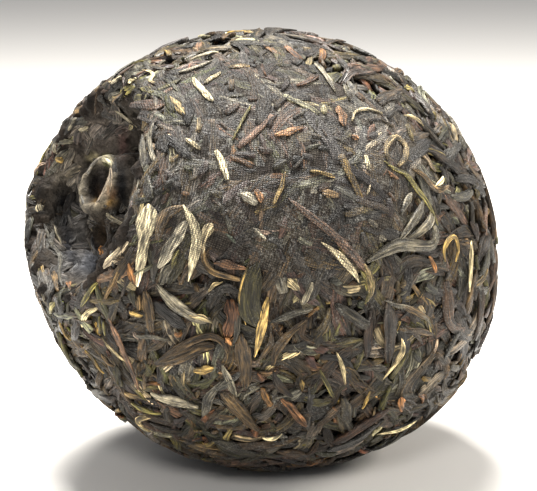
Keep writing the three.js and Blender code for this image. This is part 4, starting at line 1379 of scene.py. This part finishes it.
def noise(tree, vector, scale, detail=3.0, roughness=0.55):
    node = tree.nodes.new("ShaderNodeTexNoise")
    for name, value in (
        ("Vector", vector), ("Scale", scale), ("Detail", detail), ("Roughness", roughness),
    ):
        give(tree, value, node.inputs[name])
    return node.outputs["Fac"]


def ranged(tree, value, low, high, to_low=0.0, to_high=1.0):
    node = tree.nodes.new("ShaderNodeMapRange")
    for name, bound in (
        ("Value", value), ("From Min", low), ("From Max", high), ("To Min", to_low),
        ("To Max", to_high),
    ):
        give(tree, bound, node.inputs[name])
    return node.outputs["Result"]


def layer(tree, name):
    """What a layer of the mesh holds."""
    node_type, field, output = MESH_LAYERS[name]
    node = tree.nodes.new(node_type)
    setattr(node, field, name)
    return node.outputs[output]


def bumped(tree, shader, height, depth, weave):
    """Gives a shader the relief of a height, and the cloth's threads on top."""
    normal = None
    for relief, distance in ((height, depth), (weave, THREAD_DEPTH)):
        bump = tree.nodes.new("ShaderNodeBump")
        bump.inputs["Strength"].default_value = BUMP_STRENGTH
        bump.inputs["Distance"].default_value = distance * METRES
        tree.links.new(relief, bump.inputs["Height"])
        if normal:
            tree.links.new(normal, bump.inputs["Normal"])
        normal = bump.outputs[0]
    tree.links.new(normal, shader.inputs["Normal"])


def weave_group():
    """The mark of the cloth: threads both ways, as a height from -1 to 1."""
    group, given, made = node_group("cloth weave", {"Pitch": WEAVE_PITCH}, ("Height",))
    scaled = group.nodes.new("ShaderNodeVectorMath")
    scaled.operation = "SCALE"
    group.links.new(given["Place"], scaled.inputs[0])
    group.links.new(
        maths(group, "DIVIDE", 2 * math.pi, given["Pitch"]), scaled.inputs["Scale"],
    )
    shaken = noise(group, given["Place"], WEAVE_WAVER_SCALE, 2.0)
    shift = maths(group, "MULTIPLY", maths(group, "SUBTRACT", shaken, 0.5), WEAVE_WAVER)
    split = group.nodes.new("ShaderNodeSeparateXYZ")
    group.links.new(scaled.outputs[0], split.inputs[0])
    warp = maths(group, "SINE", maths(group, "ADD", split.outputs["X"], shift))
    weft = maths(group, "SINE", maths(group, "SUBTRACT", split.outputs["Y"], shift))
    both = ranged(group, maths(group, "MAXIMUM", warp, weft), *THREAD_TOPS)
    patches = ranged(group, noise(group, given["Place"], *THREAD_NOISE), *THREAD_PATCHES)
    group.links.new(maths(group, "MULTIPLY", both, patches), made["Height"])
    return group


def streak_group():
    """Long wrinkles and fibres of a leaf, drawn out along the strip, and blotches."""
    group, given, made = node_group(
        "leaf streaks", {"Long": STREAK_LENGTH, "Fine": FIBRE_WIDTH}, tuple(STREAK_NOISE),
    )
    split = group.nodes.new("ShaderNodeSeparateXYZ")
    group.links.new(given["Place"], split.inputs[0])

    def drawn_out(across):
        place = group.nodes.new("ShaderNodeCombineXYZ")
        for axis, scale in (("X", given["Long"]), ("Y", across)):
            stretched = maths(group, "MULTIPLY", split.outputs[axis], scale)
            group.links.new(stretched, place.inputs[axis])
        return place.outputs[0]

    places = {
        "Wrinkle": drawn_out(WRINKLE_WIDTH), "Fibre": drawn_out(given["Fine"]),
        "Blotch": given["Place"],
    }
    for name, settings in STREAK_NOISE.items():
        group.links.new(noise(group, places[name], *settings), made[name])
    return group


def bloom_group():
    """Fine pale dust and hair that catches on the surface, as a mask."""
    scale, detail, grain_roughness = DUST_GRAIN
    group, given, made = node_group("pale bloom", {"Grain": scale}, ("Mask",))
    specks = noise(group, given["Place"], given["Grain"], detail, grain_roughness)
    patches = noise(group, given["Place"], *DUST_NOISE)
    mask = maths(
        group, "MULTIPLY",
        ranged(group, specks, *DUST_SPECKS), ranged(group, patches, *DUST_PATCHES),
    )
    group.links.new(mask, made["Mask"])
    return group


WEAVE, STREAKS, BLOOM = weave_group(), streak_group(), bloom_group()


def new_material(name):
    """A material with its tree and shader, and what its parts share: the place in the object,
    how far the cloth pressed it, the height of the threads, and the mask of the dust."""
    material = bpy.data.materials.new(name)
    material.use_nodes = True
    tree = material.node_tree
    spot = tree.nodes.new("ShaderNodeTexCoord").outputs["Object"]
    pressed = layer(tree, "Pressed")
    weave = placed_group(tree, WEAVE, Place=layer(tree, "Weave"), Pitch=WEAVE_PITCH)["Height"]
    weave = maths(tree, "MULTIPLY", weave, pressed)
    dust = placed_group(tree, BLOOM, Place=spot)["Mask"]
    return material, tree, tree.nodes["Principled BSDF"], spot, pressed, weave, dust


def leaf_material(name, dust_share, streak_depth, mean_roughness, sheen):
    """Dried leaf: its own tint with streaks and blotches, long wrinkles, the cloth's mark where
    it was pressed, and pale dust."""
    material, tree, shader, _, pressed, weave, dust = new_material(name)
    streaks = placed_group(tree, STREAKS, Place=layer(tree, "Strip"))
    lights = [ranged(tree, streaks[streak], *light) for streak, light in STREAK_LIGHTS.items()]
    # Painted shade and highlight: wrinkles and fibres darker in grooves and lighter on crests,
    # thread dents darker.
    colour = darkened(tree, layer(tree, "Tint"), *lights, ranged(tree, weave, *THREAD_LIGHT))
    dustiness = maths(tree, "ADD", maths(tree, "MULTIPLY", pressed, PRESSED_DUST), dust_share)
    pale = maths(tree, "MULTIPLY", dust, dustiness, clamp=True)
    colour = mixed(tree, pale, colour, screen(DUST_COLOUR))
    tree.links.new(colour, shader.inputs["Base Color"])

    least, most = mean_roughness - ROUGHNESS_SPREAD[0], mean_roughness + ROUGHNESS_SPREAD[1]
    rough = ranged(tree, streaks["Blotch"], 0.3, 0.7, least, most)
    dusty = maths(tree, "MULTIPLY", pale, DUST_ROUGHNESS)
    tree.links.new(maths(tree, "ADD", rough, dusty, clamp=True), shader.inputs["Roughness"])
    shader.inputs["Specular IOR Level"].default_value = LEAF_SPECULAR
    shader.inputs["Sheen Weight"].default_value = sheen
    shader.inputs["Sheen Roughness"].default_value = SHEEN_ROUGHNESS

    fibres = maths(tree, "MULTIPLY", streaks["Fibre"], FIBRE_DEPTH_SHARE)
    bumped(tree, shader, maths(tree, "ADD", streaks["Wrinkle"], fibres), streak_depth, weave)
    return material


def core_material():
    """The crumb between the strips: dark, mottled brown and slate, with the cloth's mark."""
    material, tree, shader, spot, pressed, weave, dust = new_material("crumb of pressed leaf")
    patches = noise(tree, spot, *PATCH_NOISE)
    crumbs = noise(tree, spot, *CRUMB_NOISE)
    # Where strips lie loose the core is near black, partly as painted shade in the gaps between
    # them.
    loose = mixed(tree, ranged(tree, patches, *LOOSE_CORE_PATCHES), *map(screen, LOOSE_CORE))
    flush = mixed(tree, ranged(tree, patches, *PRESSED_CORE_PATCHES), *map(screen, PRESSED_CORE))
    mottle = ranged(tree, noise(tree, spot, *MOTTLE_NOISE), *MOTTLE_LIGHT)
    leafy = darkened(tree, layer(tree, "Tint"), mottle)
    colour = mixed(tree, layer(tree, "Bared"), mixed(tree, pressed, loose, flush), leafy)
    # Thread dents are painted darker and the cells between them lighter, as painted shade.
    colour = darkened(
        tree, colour, ranged(tree, crumbs, *CRUMB_LIGHT), ranged(tree, weave, *THREAD_LIGHT),
    )
    pale = maths(tree, "MULTIPLY", maths(tree, "MULTIPLY", dust, pressed), CORE_DUST)
    colour = mixed(tree, pale, colour, screen(DUST_COLOUR))
    tree.links.new(colour, shader.inputs["Base Color"])
    tree.links.new(ranged(tree, crumbs, *CORE_ROUGHNESS), shader.inputs["Roughness"])
    shader.inputs["Specular IOR Level"].default_value = CORE_SPECULAR
    bumped(tree, shader, maths(tree, "ADD", crumbs, mottle), CRUMB_DEPTH, weave)
    return material


FINISHES = {  # dust, depth of the wrinkles in millimetres, roughness, sheen
    "charcoal": (0.3, 0.9, 0.42, 0.04),
    "bark": (0.25, 0.9, 0.46, 0.03),
    "plum": (0.25, 0.8, 0.44, 0.03),
    "slate": (0.5, 0.8, 0.44, 0.08),
    "moss": (0.2, 0.7, 0.46, 0.03),
    "straw": (0.15, 0.5, 0.5, 0.03),
    "russet": (0.15, 0.5, 0.5, 0.03),
    "ivory": (0.12, 0.5, 0.6, 0.06),
    "crumb": (0.2, 0.7, 0.5, 0.03),
}


# ---- the pieces ----
def make_core():
    vertices, faces, pressed, colours, bared = core_mesh()
    mesh_piece("crumb_core", vertices, faces, core_material(), colours, pressed, bared=bared)


def make_strips():
    made = scattered_strips()
    for kind, part in (*hollow_strips().items(), *seen_strips().items(), *knot_strips()):
        made[kind].append(part)
    made["crumb"] = [crumb_strips()]
    for kind, parts in made.items():
        vertices, faces, tints, places = joined(parts)
        pressed = cloth_share(unit(vertices - MIDDLE))
        material = leaf_material(f"{kind} leaf", *FINISHES[kind])
        mesh_piece(f"{kind}_strips", vertices, faces, material, tints, pressed, places)


# ---- the stage ----
FLOOR_HALF, FLOOR_COLOUR, FLOOR_ROUGHNESS = 3.0, (0.86, 0.85, 0.83, 1), 0.6
STUDIO_COLOUR, STUDIO_STRENGTH = (0.98, 0.98, 1.0, 1), 0.26
LIGHTS = (  # name, place and size in metres, power in watts, colour
    ("overhead softbox", (0.02, 0.14, 0.6), (0.26, 0.2), 14.0, (1.0, 0.965, 0.91)),
    ("front softbox", (-0.45, -0.65, 0.6), (0.25, 0.25), 3.4, (1.0, 0.97, 0.93)),
    ("side softbox", (0.6, -0.28, 0.42), (0.25, 0.25), 4.3, (1.0, 0.935, 0.84)),
)
CAMERA_CLIP_START = 0.01


def make_floor():
    mesh = bpy.data.meshes.new("floor")
    corners = [(x * FLOOR_HALF, y * FLOOR_HALF, 0) for x, y in ((-1, -1), (1, -1), (1, 1), (-1, 1))]
    mesh.from_pydata(corners, [], [(0, 1, 2, 3)])
    material = bpy.data.materials.new("pale floor")
    material.use_nodes = True
    shader = material.node_tree.nodes["Principled BSDF"]
    shader.inputs["Base Color"].default_value = FLOOR_COLOUR
    shader.inputs["Roughness"].default_value = FLOOR_ROUGHNESS
    mesh.materials.append(material)
    floor = bpy.data.objects.new("floor", mesh)
    bpy.context.scene.collection.objects.link(floor)


def aimed(name, data, place, target):
    """A new lamp or camera at a place, turned towards a target."""
    thing = bpy.data.objects.new(name, data)
    bpy.context.scene.collection.objects.link(thing)
    thing.location = place
    thing.rotation_mode = "QUATERNION"
    thing.rotation_quaternion = (Vector(target) - Vector(place)).to_track_quat("-Z", "Y")
    return thing


def make_lights():
    world = bpy.data.worlds.new("studio")
    bpy.context.scene.world = world
    world.use_nodes = True
    backdrop = world.node_tree.nodes["Background"]
    backdrop.inputs["Color"].default_value = STUDIO_COLOUR
    backdrop.inputs["Strength"].default_value = STUDIO_STRENGTH
    for name, place, size, power, colour in LIGHTS:
        light = bpy.data.lights.new(name, "AREA")
        light.shape = "RECTANGLE"
        light.size, light.size_y = size
        light.energy = power
        light.color = colour
        aimed(name, light, place, CAKE_AIM * METRES)


def make_camera():
    camera = bpy.data.cameras.new("camera")
    camera.sensor_width = SENSOR_WIDTH
    camera.lens = VIEW_FOCAL_PIXELS * SENSOR_WIDTH / PHOTO_WIDTH
    camera.clip_start = CAMERA_CLIP_START
    bpy.context.scene.camera = aimed("camera", camera, VIEW_PLACE * METRES, VIEW_AIM * METRES)
    bpy.context.scene.view_settings.view_transform = "Standard"


make_camera()
make_core()
make_strips()
make_floor()
make_lights()

bpy.context.view_layer.update()
